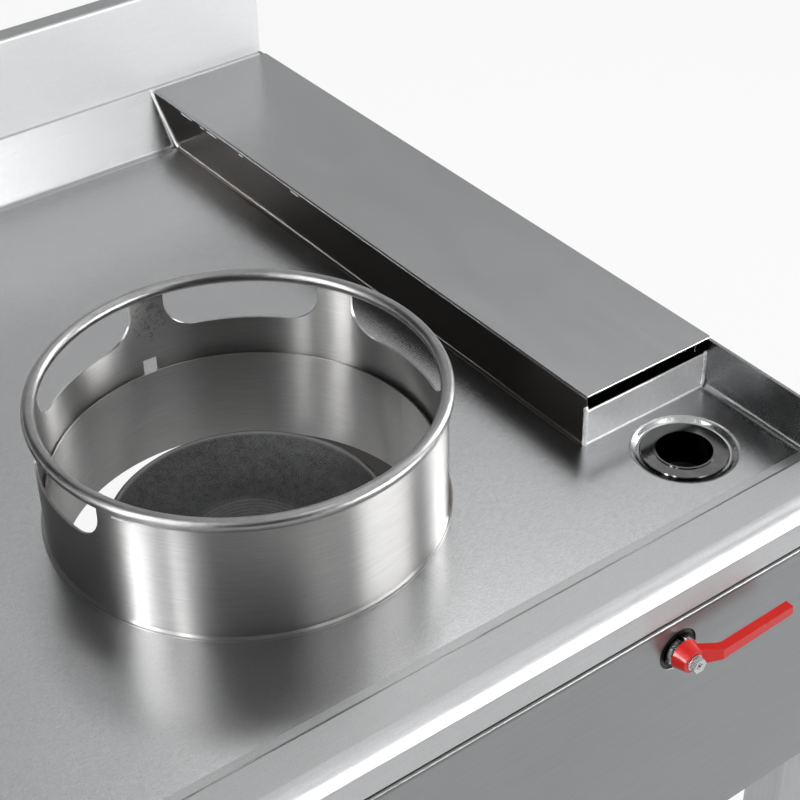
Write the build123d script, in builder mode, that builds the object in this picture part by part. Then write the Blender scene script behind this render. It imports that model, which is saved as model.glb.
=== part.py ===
"""Wok range on an open stand: a flooded steel well, one cast burner under a ported wok ring,
a covered overflow channel along the right-hand side and a drain with a lever ball valve.

All sizes are millimetres.  X runs to the right, Y to the back and Z up; the floor is Z = 0 and
the origin is under the middle of the whole outline.
"""

from math import atan2, cos, degrees, hypot, radians, sin, tan
import os

from build123d import *

os.makedirs("parts", exist_ok=True)

# ---- overall -------------------------------------------------------------------------------
WIDTH = 800.0
DEPTH = 900.0              # nose of the front rim to the back panel
DECK_HEIGHT = 850.0        # floor to the bottom of the well
BODY_DEPTH = 300.0         # bottom of the well down to the underside of the base frame
SPLASH_RISE = 150.0        # splashback above the well
SPLASH_THICK = 24.0
SPLASH_ROUND = 3.0
DECK_SHEET = 2.0
PANEL_SHEET = 1.5
PANEL_BEND = 2.5

# ---- well ----------------------------------------------------------------------------------
UPSTAND_RISE = 48.0        # side upstands and back wall above the well
UPSTAND_THICK = 3.0        # sheet folded flat on itself
WELL_BEND = 4.0            # bend radius where the well turns up
STRIP_BEND = 3.0           # bend radius of the front rim's foot and bottom flange
LIP_BEND = 2.2             # under the nose: out of the slope, then into the apron
LIP_INNER_BEND = 1.4
SEAM_LAND = 9.0            # strip of floor left on each folded edge piece
CHEEK_SLOPE = 12.0         # length of the fall from the upstand to the front rim
CHEEK_ROUND = 10.0
RIM_RISE = 9.0
RIM_DEPTH = 53.5           # nose to the foot of the step up from the well
RIM_STEP_RUN = 6.4
NOSE_SLOPE_RUN = 9.7
NOSE_BOTTOM = 4.0          # nose edge below the well floor
NOSE_BEND = 14.0
PANEL_SETBACK = 1.5        # nose to the face of the front panel
APRON_DROP = 32.0          # lower edge of the rim's front strip below the well floor
RETURN_FLANGE = 15.0
BACK_LEDGE = 5.0           # flat top edge of the leaning back wall
BACK_WALL_RUN = 42.0       # how far the back wall leans back over its height

# ---- overflow channel -----------------------------------------------------------------------
CHANNEL_WIDTH = 141.5      # well side of the channel to the side of the range
CHANNEL_FRONT = 177.5      # nose to the channel's end plate
WEIR_HEIGHT = 34.5         # end plate above the well
HOOD_END_GAP = 7.0         # hood to the top of the leaning back wall
WELD_GAP = 1.5             # filled by the weld bead at the back wall
HOOD_TAB_INSET = 15.0
HOOD_TAB_DROP = 6.0
OVERFLOW_RADIUS = 14.0
OVERFLOW_FROM_RIGHT = 71.0
OVERFLOW_FROM_BACK = 175.0

# ---- wok ring and liner ---------------------------------------------------------------------
BURNER_SETBACK = 291.5     # nose to the centre of the burner
RING_RADIUS = 162.0        # outside of the ring wall
RING_SHEET = 2.0
RIM_BAR = 5.5              # radius of the round bar along the top
RIM_BAR_HEIGHT = 110.0     # middle of the bar above the well
RING_FOOT = 3.0            # reach of the turned-out foot
RING_FOOT_THICK = 1.2
WINDOW_COUNT = 4
WINDOW_PITCH = 58.6
WINDOW_MIDDLE = 86.3       # degrees, middle of the four windows
WINDOW_SPAN = 47.0         # degrees
WINDOW_SILL = 68.0
WINDOW_CORNER = 26.0
LINER_GAP = 3.0            # ring wall to liner, all round
LINER_SHEET = 1.5
LINER_TOP = 33.5
LINER_DROP = 53.0          # lower edge below the well floor
LINER_BEAD = 2.4           # reach of the bead that rests on the collar
LUG_ANGLE = 87.0           # degrees from the right-hand side
LUG_WIDTH = 10.0
LUG_REACH = 8.0
LUG_HEIGHT = 2.5
NOTCH_WIDTH = 13.0
NOTCH_SILL = 27.0
NOTCH_TOP = 45.0
COLLAR_SHEET = 1.2
COLLAR_HEIGHT = 24.0
COLLAR_DROP = 12.0
COLLAR_GAP = 0.6           # liner to collar, all round

# ---- burner ---------------------------------------------------------------------------------
CAP_RADIUS = 117.0
CAP_TOP = 19.0             # cap's edge below the well floor
CAP_SKIRT_RADIUS = 96.0    # the cap overhangs its skirt and the body
CAP_WALL = 6.0
CAP_DISH = 24.0            # depth of the dish
CAP_FLAT_RADIUS = 48.0     # turned flat in the middle
CAP_FLAT_TURN = 0.06       # slope of the dish where it leaves the flat
CAP_RIM_TURN = 0.8         # slope of the dish where it meets the rim
CAP_RIM_WIDTH = 5.0
CAP_RIM_STEP = 1.0         # dish edge below the rim
PORT_COUNT = 36
PORT_WIDTH = 4.0
PORT_HEIGHT = 7.0
PORT_LAND = 2.0            # skirt left above the ports
SEAT_LEVEL = 52.0          # joint between cap and burner body below the well floor
SEAT_WIDTH = 7.0
SPIGOT_CLEARANCE = 0.3
SPIGOT_DEPTH = 5.0
BODY_BASE = 125.0          # underside of the burner body below the well floor
BODY_BASE_RADIUS = 64.0
BODY_SHOULDER = 66.0
BODY_WALL = 5.0
VENTURI_LEVEL = 95.0
VENTURI_BORE = 16.0
VENTURI_END_BORE = 18.0
VENTURI_WALL = 3.0
FEED_RUN = 33.2            # injector to the line of the tap's port
BELL_RADIUS = 32.0
BELL_LENGTH = 30.0
BOSS_LENGTH = 16.0
ARM_COUNT = 3
ARM_WIDTH = 8.0
ARM_THICK = 4.0
ARM_LENGTH = 32.0
ARM_INSET = 0.4            # arms and end disc inside the bell's outer radius
DISC_THICK = 5.0
SHUTTER_CLEARANCE = 0.08
SHUTTER_WALL = 2.0
SHUTTER_LENGTH = 24.0      # slides out over the air gap
SHUTTER_HOLD = 18.0        # length of bell covered by the shutter at rest
INJECTOR_RADIUS = 7.0
INJECTOR_LENGTH = 36.0
INJECTOR_HEX = 19.0
HANGER_WIDTH = 30.0
HANGER_THICK = 3.0
HANGER_RADIUS = 185.0      # burner centre to the hanging strap
HANGER_FLANGE = 30.0
HANGER_INNER = 40.0
HANGER_BEND = 5.0
SHIELD_FROM = -20.0        # heat shield on the right-hand hanger, along Y from the burner
SHIELD_TO = 265.0
SHIELD_DROP = 172.0        # its lower edge below the well floor

# ---- pilot ----------------------------------------------------------------------------------
PILOT_ANGLE = -60.0
PROBE_ANGLE = -74.0
PILOT_RADIUS = 129.0       # burner centre to the pilot
PILOT_TOP = 34.0           # below the well floor
PILOT_BODY = 6.0
PROBE_BODY = 3.2
BRACKET_WIDTH = 50.0
BRACKET_MARGIN = 3.0
LEAD_RADIUS = 2.0
LEAD_BEND = 12.0
PILOT_LEAD_LEVEL = 142.0
PROBE_LEAD_LEVEL = 132.0

# ---- gas supply -----------------------------------------------------------------------------
KNOB_FROM_LEFT = 150.0     # side of the range to the knob
KNOB_DROP = 165.0          # knob axis below the well floor
KNOB_RADIUS = 27.0
KNOB_LENGTH = 21.0
KNOB_TAPER = 5.0           # degrees
KNOB_SKIRT_RADIUS = 32.0
KNOB_SKIRT_THICK = 3.0
KNOB_SLOT_COUNT = 12
KNOB_SLOT_RADIUS = 4.0
BEZEL_RADIUS = 36.0
BEZEL_THICK = 1.5
KNOB_CLEARANCE = 0.4       # knob to bezel when pushed in
SPINDLE_RADIUS = 4.0
SPINDLE_CLEARANCE = 0.05
TAP_RADIUS = 21.0
TAP_LENGTH = 78.0
TAP_FLANGE_RADIUS = 28.0
TAP_FLANGE_THICK = 4.0
PLUNGER_RADIUS = 8.0
PLUNGER_LENGTH = 10.0
PLUNGER_TRAVEL = 4.0       # push needed before the knob turns
PIPE_RADIUS = 6.0          # feed pipe
PIPE_WALL = 1.0
PIPE_BEND = 20.0
INLET_RADIUS = 10.5
INLET_WALL = 2.5
INLET_BEND = 32.0
INLET_FROM_LEFT = 70.0
INLET_FROM_BACK = 70.0
INLET_DROP = 22.0          # end of the inlet below the base frame
UNION_HEX = 32.0
UNION_LENGTH = 14.0

# ---- igniter --------------------------------------------------------------------------------
IGNITER_FROM_LEFT = 250.0
BUTTON_RADIUS = 9.0
BUTTON_PROUD = 8.0
BUTTON_TRAVEL = 4.0
BUTTON_CLEARANCE = 0.1
BUTTON_LENGTH = 22.0
BUTTON_ROUND = 2.0
IGNITER_COLLAR = 14.0
IGNITER_COLLAR_THICK = 2.5
IGNITER_BODY = 11.0
IGNITER_LENGTH = 45.0

# ---- drain ----------------------------------------------------------------------------------
DRAIN_FROM_RIGHT = 78.0    # side of the range to the drain
DRAIN_SETBACK = 123.5      # nose to the middle of the drain
DISH_RADIUS = 46.0
DISH_DEPTH = 4.0
DISH_SLOPE = 7.6           # width of the pressed curve down into the dish
FLANGE_RADIUS = 37.5
FLANGE_THICK = 2.5
FLANGE_EDGE = 1.0          # bevel round the flange
THROAT_RADIUS = 24.0
THROAT_WALL = 3.0
THROAT_LENGTH = 32.0
THROAT_LIP = 0.8
THROAT_LIP_WIDTH = 1.6
GASKET_THICK = 2.0
LOCKNUT_HEX = 70.0
LOCKNUT_THICK = 9.0
THREAD_CLEARANCE = 0.05
TRAP_WALL = 4.0
TRAP_DROP = 86.0           # lowest point of the waste bowl below the well floor
TRAP_ROUND = 20.4          # radius of the bowl's lower corner
WASTE_RADIUS = 17.0
WASTE_BORE = 13.5
WASTE_BEND = 32.0
WASTE_STUB = 6.0
ELBOW_BEND = 28.0          # tight elbow between the bowl and the valve
TEE_LENGTH = 14.0          # socket on the waste pipe for the overflow pipe
TEE_STEP = 0.6             # socket below the pipe's own radius

# ---- drain valve ----------------------------------------------------------------------------
VALVE_FROM_RIGHT = 195.0   # side of the range to the lever
VALVE_DROP = 66.0          # stem axis below the well floor
VALVE_BACK = 50.0          # panel face to the middle of the ball
VALVE_RADIUS = 21.0
VALVE_LENGTH = 62.0
VALVE_HEX = 44.0
VALVE_HEX_LENGTH = 13.0
BALL_RADIUS = 16.5
BALL_BORE = 12.5
BALL_CLEARANCE = 0.3
BALL_FLAT = 14.8           # middle of the ball to the flat that drives it
GLAND_CLEARANCE = 0.4      # stem to the plate and nut in front of the gland
TOWER_RADIUS = 10.0
STEM_RADIUS = 4.5
STEM_CLEARANCE = 0.05
PANEL_HOLE = 19.0
STOP_RADIUS = 15.7
STOP_THICK = 1.5
STOP_GAP = 0.5             # panel face to stop plate
STOP_PIN_RADIUS = 1.8
STOP_PIN_LENGTH = 3.6
GLAND_RADIUS = 11.0
GLAND_THICK = 4.0
HUB_GAP = 0.4
HUB_RADIUS = 13.6
HUB_LENGTH = 11.5
HUB_TAPER = 16.0           # degrees
NUT_HEX = 12.0
NUT_THICK = 5.6
WASHER_RADIUS = 7.2
WASHER_THICK = 1.2
STUD_RADIUS = 3.0
STUD_PROUD = 1.4
STUD_CHAMFER = 0.6
LEVER_STANDOFF = 27.0      # panel face to the front of the lever
LEVER_THICK = 8.0
LEVER_LENGTH = 99.0        # stem axis to the tip
LEVER_CRANK = 23.0         # stem axis to the bend
LEVER_ROOT = 7.0
LEVER_CRANK_RISE = 10.0    # how far the crank carries the lever out
LEVER_NECK = 17.0          # height of the crank at the hub
LEVER_HEIGHT = 10.7
LEVER_TIP_HEIGHT = 8.7
LEVER_TILT = 2.5           # degrees above level with the valve open
OUTLET_FROM_RIGHT = 268.0
OUTLET_DROP = 360.0        # end of the waste pipe below the well floor
OUTLET_SPIGOT = 60.0       # length turned down for a hose
OUTLET_SPIGOT_RADIUS = 16.0
OVERFLOW_LEVEL = 150.0
OVERFLOW_WALL = 1.5
OVERFLOW_TURN = 60.0       # burner centre to the pipe's cross run, towards the front

# ---- stand ----------------------------------------------------------------------------------
ANGLE_LEG = 30.0
ANGLE_THICK = 3.0
LEG_SIZE = 40.0
LEG_WALL = 2.0
LEG_ROUND = 4.0
LEG_BOTTOM = 42.0
LEG_PLUG = 12.0
BRACE_SIZE = 30.0
BRACE_HEIGHT = 165.0
BRACE_FROM_BACK = 150.0
FOOT_PAD = 21.0
FOOT_PAD_THICK = 13.0
FOOT_PAD_TAPER = 12.0      # degrees
FOOT_STEM = 6.0
FOOT_STEM_LENGTH = 78.0
FOOT_CLEARANCE = 0.06
SCREW_HEAD = 4.2           # countersunk heads, flush with the side panels
SCREW_CONE = 41.0          # half angle of the head
SCREW_SHANK = 2.0
SCREW_LENGTH = 9.0
SCREW_CLEARANCE = 0.1
SCREW_COUNT = 4
SCREW_INSET = 60.0

# ---- places worked out from the sizes above --------------------------------------------------
half_width = WIDTH / 2
channel_x = half_width - CHANNEL_WIDTH
drain_x = half_width - DRAIN_FROM_RIGHT
overflow_x = half_width - OVERFLOW_FROM_RIGHT
valve_x = half_width - VALVE_FROM_RIGHT
outlet_x = half_width - OUTLET_FROM_RIGHT
knob_x = KNOB_FROM_LEFT - half_width
inlet_x = INLET_FROM_LEFT - half_width
igniter_x = IGNITER_FROM_LEFT - half_width
nose_y = -(DEPTH - (LEVER_STANDOFF - PANEL_SETBACK)) / 2
back_y = nose_y + DEPTH
panel_y = nose_y + PANEL_SETBACK
base_z = DECK_HEIGHT - BODY_DEPTH
apron_z = DECK_HEIGHT - APRON_DROP
well_side = half_width - UPSTAND_THICK
well_front = nose_y + RIM_DEPTH
splash_y = back_y - SPLASH_THICK
well_back = splash_y - BACK_LEDGE - BACK_WALL_RUN
burner_y = nose_y + BURNER_SETBACK
drain_y = nose_y + DRAIN_SETBACK
channel_y = nose_y + CHANNEL_FRONT
liner_radius = RING_RADIUS - RING_SHEET - LINER_GAP
collar_inner = liner_radius + COLLAR_GAP
collar_outer = collar_inner + COLLAR_SHEET
burner_axis = Axis((0, burner_y, 0), (0, 0, 1))
drain_axis = Axis((drain_x, drain_y, 0), (0, 0, 1))


def facing_front(y):
    """Upright plane at depth y, seen from the front: local X right, local Y up."""
    return Plane.XZ.offset(-y)


def cut_through(x, y):
    """Upright section plane through a vertical axis; its local Y is the height above the well."""
    return Plane(origin=(x, y, DECK_HEIGHT), x_dir=(1, 0, 0), z_dir=(0, -1, 0))


def radial_plane(angle, radius, z):
    """Plane square to a radius of the burner, facing outwards; local Y is up."""
    a = radians(angle)
    origin = (radius * cos(a), burner_y + radius * sin(a), z)
    return Plane(origin=origin, x_dir=(-sin(a), cos(a), 0), z_dir=(cos(a), sin(a), 0))


# ============================================================================================
# Well: floor, front rim, side upstands, leaning back wall
# ============================================================================================

# The floor carries the burner opening, the pressed dish of the drain and the overflow hole.
with BuildPart() as deck_plate:
    with BuildSketch(Plane.XY.offset(DECK_HEIGHT - DECK_SHEET)):
        with Locations((0, (well_front + well_back) / 2)):
            Rectangle(2 * (well_side - SEAM_LAND), well_back - well_front - 2 * SEAM_LAND)
        with Locations((0, burner_y)):
            Circle(collar_outer, mode=Mode.SUBTRACT)
        with Locations((drain_x, drain_y)):
            Circle(DISH_RADIUS, mode=Mode.SUBTRACT)
        with Locations((overflow_x, back_y - OVERFLOW_FROM_BACK)):
            Circle(OVERFLOW_RADIUS, mode=Mode.SUBTRACT)
    extrude(amount=DECK_SHEET)
    with BuildSketch(cut_through(drain_x, drain_y)):
        with BuildLine():
            Spline(
                (DISH_RADIUS, 0),
                (DISH_RADIUS - DISH_SLOPE, -DISH_DEPTH),
                tangents=((-1, 0), (-1, 0)),
            )
            Polyline(
                (DISH_RADIUS - DISH_SLOPE, -DISH_DEPTH),
                (THROAT_RADIUS + THROAT_WALL + SPIGOT_CLEARANCE, -DISH_DEPTH),
                (THROAT_RADIUS + THROAT_WALL + SPIGOT_CLEARANCE, -DISH_DEPTH - DECK_SHEET),
                (DISH_RADIUS - DISH_SLOPE, -DISH_DEPTH - DECK_SHEET),
            )
            Spline(
                (DISH_RADIUS - DISH_SLOPE, -DISH_DEPTH - DECK_SHEET),
                (DISH_RADIUS, -DECK_SHEET),
                tangents=((1, 0), (1, 0)),
            )
            Line((DISH_RADIUS, -DECK_SHEET), (DISH_RADIUS, 0))
        make_face()
    revolve(axis=drain_axis)
deck_plate.part.label = "deck_plate"
export_step(deck_plate.part, "parts/deck_plate.step")

# Front rim: one folded strip, up from the well, over the nose and down to the front panel.
with BuildPart() as front_rim:
    with BuildSketch(Plane.YZ.offset(-well_side)):
        with BuildLine():
            FilletPolyline(
                (well_front + SEAM_LAND, DECK_HEIGHT),
                (well_front, DECK_HEIGHT),
                (well_front - RIM_STEP_RUN, DECK_HEIGHT + RIM_RISE),
                (nose_y + NOSE_SLOPE_RUN, DECK_HEIGHT + RIM_RISE),
                (nose_y, DECK_HEIGHT - NOSE_BOTTOM),
                (panel_y, DECK_HEIGHT - NOSE_BOTTOM - DECK_SHEET),
                (panel_y, apron_z),
                (panel_y + RETURN_FLANGE, apron_z),
                radius=(STRIP_BEND, STRIP_BEND, NOSE_BEND, LIP_BEND, LIP_INNER_BEND, STRIP_BEND),
            )
            offset(amount=DECK_SHEET, side=Side.LEFT)
        make_face()
    extrude(amount=2 * well_side)
front_rim.part.label = "front_rim"
export_step(front_rim.part, "parts/front_rim.step")

# Side upstand: a cheek that follows the nose at the front, with a strip of floor on its inside.
with BuildPart() as right_upstand:
    with BuildSketch(Plane.YZ.offset(well_side)):
        with BuildLine():
            FilletPolyline(
                (splash_y, apron_z),
                (splash_y, DECK_HEIGHT + UPSTAND_RISE),
                (well_front + CHEEK_SLOPE, DECK_HEIGHT + UPSTAND_RISE),
                (well_front, DECK_HEIGHT + RIM_RISE),
                (nose_y + NOSE_SLOPE_RUN, DECK_HEIGHT + RIM_RISE),
                (nose_y, DECK_HEIGHT - NOSE_BOTTOM),
                (panel_y, DECK_HEIGHT - NOSE_BOTTOM - DECK_SHEET),
                (panel_y, apron_z),
                radius=(0, CHEEK_ROUND, CHEEK_ROUND, NOSE_BEND, LIP_BEND, LIP_INNER_BEND),
            )
            Line((panel_y, apron_z), (splash_y, apron_z))
        make_face()
    extrude(amount=UPSTAND_THICK)
    with BuildSketch(facing_front(well_back - SEAM_LAND)):
        with BuildLine():
            Polyline(
                (well_side - SEAM_LAND, DECK_HEIGHT - DECK_SHEET),
                (well_side, DECK_HEIGHT - DECK_SHEET),
                (well_side, DECK_HEIGHT + WELL_BEND),
            )
            RadiusArc(
                (well_side, DECK_HEIGHT + WELL_BEND),
                (well_side - WELL_BEND, DECK_HEIGHT),
                WELL_BEND,
            )
            Polyline(
                (well_side - WELL_BEND, DECK_HEIGHT),
                (well_side - SEAM_LAND, DECK_HEIGHT),
                (well_side - SEAM_LAND, DECK_HEIGHT - DECK_SHEET),
            )
        make_face()
    extrude(amount=well_back - well_front - 2 * SEAM_LAND)
right_upstand.part.label = "right_upstand"
export_step(right_upstand.part, "parts/right_upstand.step")

with BuildPart() as left_upstand:
    mirror(right_upstand.part, about=Plane.YZ)
left_upstand.part.label = "left_upstand"
export_step(left_upstand.part, "parts/left_upstand.step")

# Back wall: leans away from the burner up to a narrow ledge at the splashback.
with BuildPart() as back_wall:
    with BuildSketch(Plane.YZ.offset(-well_side)):
        with BuildLine():
            FilletPolyline(
                (well_back - SEAM_LAND, DECK_HEIGHT),
                (well_back, DECK_HEIGHT),
                (well_back + BACK_WALL_RUN, DECK_HEIGHT + UPSTAND_RISE),
                (splash_y, DECK_HEIGHT + UPSTAND_RISE),
                radius=(WELL_BEND, 0.0),
            )
            offset(amount=DECK_SHEET, side=Side.RIGHT)
        make_face()
    extrude(amount=2 * well_side)
back_wall.part.label = "back_wall"
export_step(back_wall.part, "parts/back_wall.step")

# Splashback: a hollow cap, open at the bottom, that closes the body at the back.
with BuildPart() as splashback:
    with BuildSketch(Plane.XY.offset(apron_z)):
        with Locations((0, (splash_y + back_y) / 2)):
            Rectangle(WIDTH, SPLASH_THICK)
    extrude(amount=APRON_DROP + SPLASH_RISE)
    fillet(splashback.edges().filter_by(Axis.X).group_by(Axis.Z)[-1], SPLASH_ROUND)
    offset(amount=-PANEL_SHEET, openings=splashback.faces().sort_by(Axis.Z)[0])
splashback.part.label = "splashback"
export_step(splashback.part, "parts/splashback.step")

# ============================================================================================
# Overflow channel: a folded hood over a weir plate, welded into the right-hand side of the well
# ============================================================================================
hood_top = DECK_HEIGHT + UPSTAND_RISE + DECK_SHEET
hood_back = well_back + BACK_WALL_RUN - HOOD_END_GAP

with BuildPart() as channel_hood:
    with BuildSketch(facing_front(channel_y)):
        with BuildLine():
            FilletPolyline(
                (channel_x, DECK_HEIGHT),
                (channel_x, hood_top),
                (half_width, hood_top),
                radius=PANEL_BEND,
            )
            offset(amount=DECK_SHEET, side=Side.RIGHT)
        make_face()
        with Locations((well_side - HOOD_TAB_INSET, hood_top - DECK_SHEET)):
            Rectangle(PANEL_SHEET, HOOD_TAB_DROP, align=(Align.CENTER, Align.MAX))
    extrude(amount=channel_y - hood_back)
    # The wall is cut along the lean of the back wall; the top stops short of it.
    with BuildSketch(Plane.YZ.offset(channel_x - WELL_BEND)):
        with BuildLine():
            Polyline(
                (well_back - WELD_GAP, DECK_HEIGHT),
                (well_back - WELD_GAP + BACK_WALL_RUN, DECK_HEIGHT + UPSTAND_RISE),
                (hood_back + BACK_WALL_RUN, DECK_HEIGHT),
                close=True,
            )
        make_face()
    extrude(amount=half_width - channel_x, mode=Mode.SUBTRACT)
channel_hood.part.label = "channel_hood"
export_step(channel_hood.part, "parts/channel_hood.step")

with BuildPart() as channel_end_plate:
    with BuildSketch(facing_front(channel_y + DECK_SHEET)):
        with Locations((channel_x + DECK_SHEET, DECK_HEIGHT)):
            Rectangle(
                well_side - WELL_BEND - channel_x - DECK_SHEET,
                WEIR_HEIGHT,
                align=(Align.MIN, Align.MIN),
            )
    extrude(amount=DECK_SHEET)
channel_end_plate.part.label = "channel_end_plate"
export_step(channel_end_plate.part, "parts/channel_end_plate.step")

# ============================================================================================
# Burner opening, wok ring and liner
# ============================================================================================

with BuildPart() as burner_collar:
    with BuildSketch(Plane.XY.offset(DECK_HEIGHT - COLLAR_DROP)):
        with Locations((0, burner_y)):
            Circle(collar_outer)
            Circle(collar_inner, mode=Mode.SUBTRACT)
    extrude(amount=COLLAR_DROP + COLLAR_HEIGHT)
burner_collar.part.label = "burner_collar"
export_step(burner_collar.part, "parts/burner_collar.step")

# Ring wall: rolled sheet with a turned-out foot, four windows round the back and a notch that
# takes the liner's lug.  The front stays closed towards the cook.
ring_inner = RING_RADIUS - RING_SHEET
wall_top = RIM_BAR_HEIGHT - RIM_BAR
window_width = 2 * RING_RADIUS * sin(radians(WINDOW_SPAN / 2))
cut_depth = RING_RADIUS / 2

with BuildPart() as wok_ring_wall:
    with BuildSketch(cut_through(0, burner_y)):
        with BuildLine():
            Polyline(
                (ring_inner, 0),
                (RING_RADIUS + RING_FOOT, 0),
                (RING_RADIUS + RING_FOOT, RING_FOOT_THICK),
                (RING_RADIUS + RING_FOOT / 2, RING_FOOT_THICK),
                (RING_RADIUS, RING_FOOT),
                (RING_RADIUS, wall_top),
                (ring_inner, wall_top),
                close=True,
            )
        make_face()
    revolve(axis=burner_axis)
    for window in range(WINDOW_COUNT):
        window_angle = WINDOW_MIDDLE + (window - (WINDOW_COUNT - 1) / 2) * WINDOW_PITCH
        with BuildSketch(radial_plane(window_angle, cut_depth, DECK_HEIGHT + WINDOW_SILL)):
            opening = Rectangle(window_width, wall_top, align=(Align.CENTER, Align.MIN))
            fillet(opening.vertices().group_by(Axis.Z)[0], WINDOW_CORNER)
        extrude(amount=RING_RADIUS, mode=Mode.SUBTRACT)
    with BuildSketch(radial_plane(LUG_ANGLE, cut_depth, DECK_HEIGHT + NOTCH_SILL)):
        Rectangle(NOTCH_WIDTH, NOTCH_TOP - NOTCH_SILL, align=(Align.CENTER, Align.MIN))
    extrude(amount=RING_RADIUS, mode=Mode.SUBTRACT)
wok_ring_wall.part.label = "wok_ring_wall"
export_step(wok_ring_wall.part, "parts/wok_ring_wall.step")

with BuildPart() as wok_ring_rim:
    with BuildSketch(cut_through(0, burner_y)):
        with Locations((RING_RADIUS - RING_SHEET / 2, RIM_BAR_HEIGHT)):
            Circle(RIM_BAR)
    revolve(axis=burner_axis)
wok_ring_rim.part.label = "wok_ring_rim"
export_step(wok_ring_rim.part, "parts/wok_ring_rim.step")

# Liner: rests on the collar by a bead, is kept from turning by a lug in the ring's notch and
# lifts off with the ring.
with BuildPart() as ring_liner:
    with BuildSketch(Plane.XY.offset(DECK_HEIGHT - LINER_DROP)):
        with Locations((0, burner_y)):
            Circle(liner_radius)
            Circle(liner_radius - LINER_SHEET, mode=Mode.SUBTRACT)
    extrude(amount=LINER_DROP + LINER_TOP)
    with BuildSketch(Plane.XY.offset(DECK_HEIGHT + COLLAR_HEIGHT)):
        with Locations((0, burner_y)):
            Circle(liner_radius + LINER_BEAD)
            Circle(liner_radius - LINER_SHEET, mode=Mode.SUBTRACT)
    extrude(amount=LINER_SHEET)
    lug_plane = radial_plane(LUG_ANGLE, liner_radius - LINER_SHEET / 2, DECK_HEIGHT + NOTCH_SILL)
    with BuildSketch(lug_plane):
        Rectangle(LUG_WIDTH, LUG_HEIGHT, align=(Align.CENTER, Align.MIN))
    extrude(amount=LUG_REACH)
ring_liner.part.label = "ring_liner"
export_step(ring_liner.part, "parts/ring_liner.step")

# ============================================================================================
# Burner: cast cap and body, venturi with adjustable air shutter, injector, hangers
# ============================================================================================
skirt_inner = CAP_SKIRT_RADIUS - SEAT_WIDTH
cap_underside = CAP_TOP + CAP_DISH + CAP_WALL
venturi_z = DECK_HEIGHT - VENTURI_LEVEL
# The venturi runs out over the gas tap, whose port lies below its line.
tap_front = panel_y + PANEL_SHEET
tap_back = tap_front + TAP_LENGTH
port_y = tap_front + TAP_LENGTH / 2
knob_z = DECK_HEIGHT - KNOB_DROP
venturi_angle = degrees(atan2(port_y - burner_y, knob_x))
injector_out = hypot(port_y - burner_y, knob_x) - FEED_RUN
disc_at = injector_out - INJECTOR_LENGTH / 2
venturi_reach = disc_at - ARM_LENGTH

# Cap: a dish on a slotted skirt; the gas burns out through the slots, all round the edge.
with BuildPart() as burner_cap:
    with BuildSketch(cut_through(0, burner_y)):
        with BuildLine():
            Polyline(
                (0, -cap_underside),
                (0, -CAP_TOP - CAP_DISH),
                (CAP_FLAT_RADIUS, -CAP_TOP - CAP_DISH),
            )
            Spline(
                (CAP_FLAT_RADIUS, -CAP_TOP - CAP_DISH),
                (CAP_RADIUS - CAP_RIM_WIDTH, -CAP_TOP - CAP_RIM_STEP),
                tangents=((1, CAP_FLAT_TURN), (1, CAP_RIM_TURN)),
            )
            Polyline(
                (CAP_RADIUS - CAP_RIM_WIDTH, -CAP_TOP - CAP_RIM_STEP),
                (CAP_RADIUS - CAP_RIM_WIDTH / 2, -CAP_TOP),
                (CAP_RADIUS, -CAP_TOP - CAP_RIM_WIDTH / 2),
                (CAP_SKIRT_RADIUS, -SEAT_LEVEL + PORT_HEIGHT + PORT_LAND),
                (CAP_SKIRT_RADIUS, -SEAT_LEVEL),
                (skirt_inner, -SEAT_LEVEL),
                (skirt_inner, -SEAT_LEVEL - SPIGOT_DEPTH),
                (skirt_inner - CAP_WALL, -SEAT_LEVEL - SPIGOT_DEPTH),
                (skirt_inner - CAP_WALL, -SEAT_LEVEL + PORT_HEIGHT),
                (CAP_FLAT_RADIUS, -cap_underside),
                (0, -cap_underside),
            )
        make_face()
    revolve(axis=burner_axis)
    for port in range(PORT_COUNT):
        port_angle = port * 360 / PORT_COUNT
        with BuildSketch(radial_plane(port_angle, skirt_inner - 2 * CAP_WALL, DECK_HEIGHT - SEAT_LEVEL)):
            Rectangle(PORT_WIDTH, PORT_HEIGHT, align=(Align.CENTER, Align.MIN))
        extrude(amount=SEAT_WIDTH + 4 * CAP_WALL, mode=Mode.SUBTRACT)
burner_cap.part.label = "burner_cap"
export_step(burner_cap.part, "parts/burner_cap.step")

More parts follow.
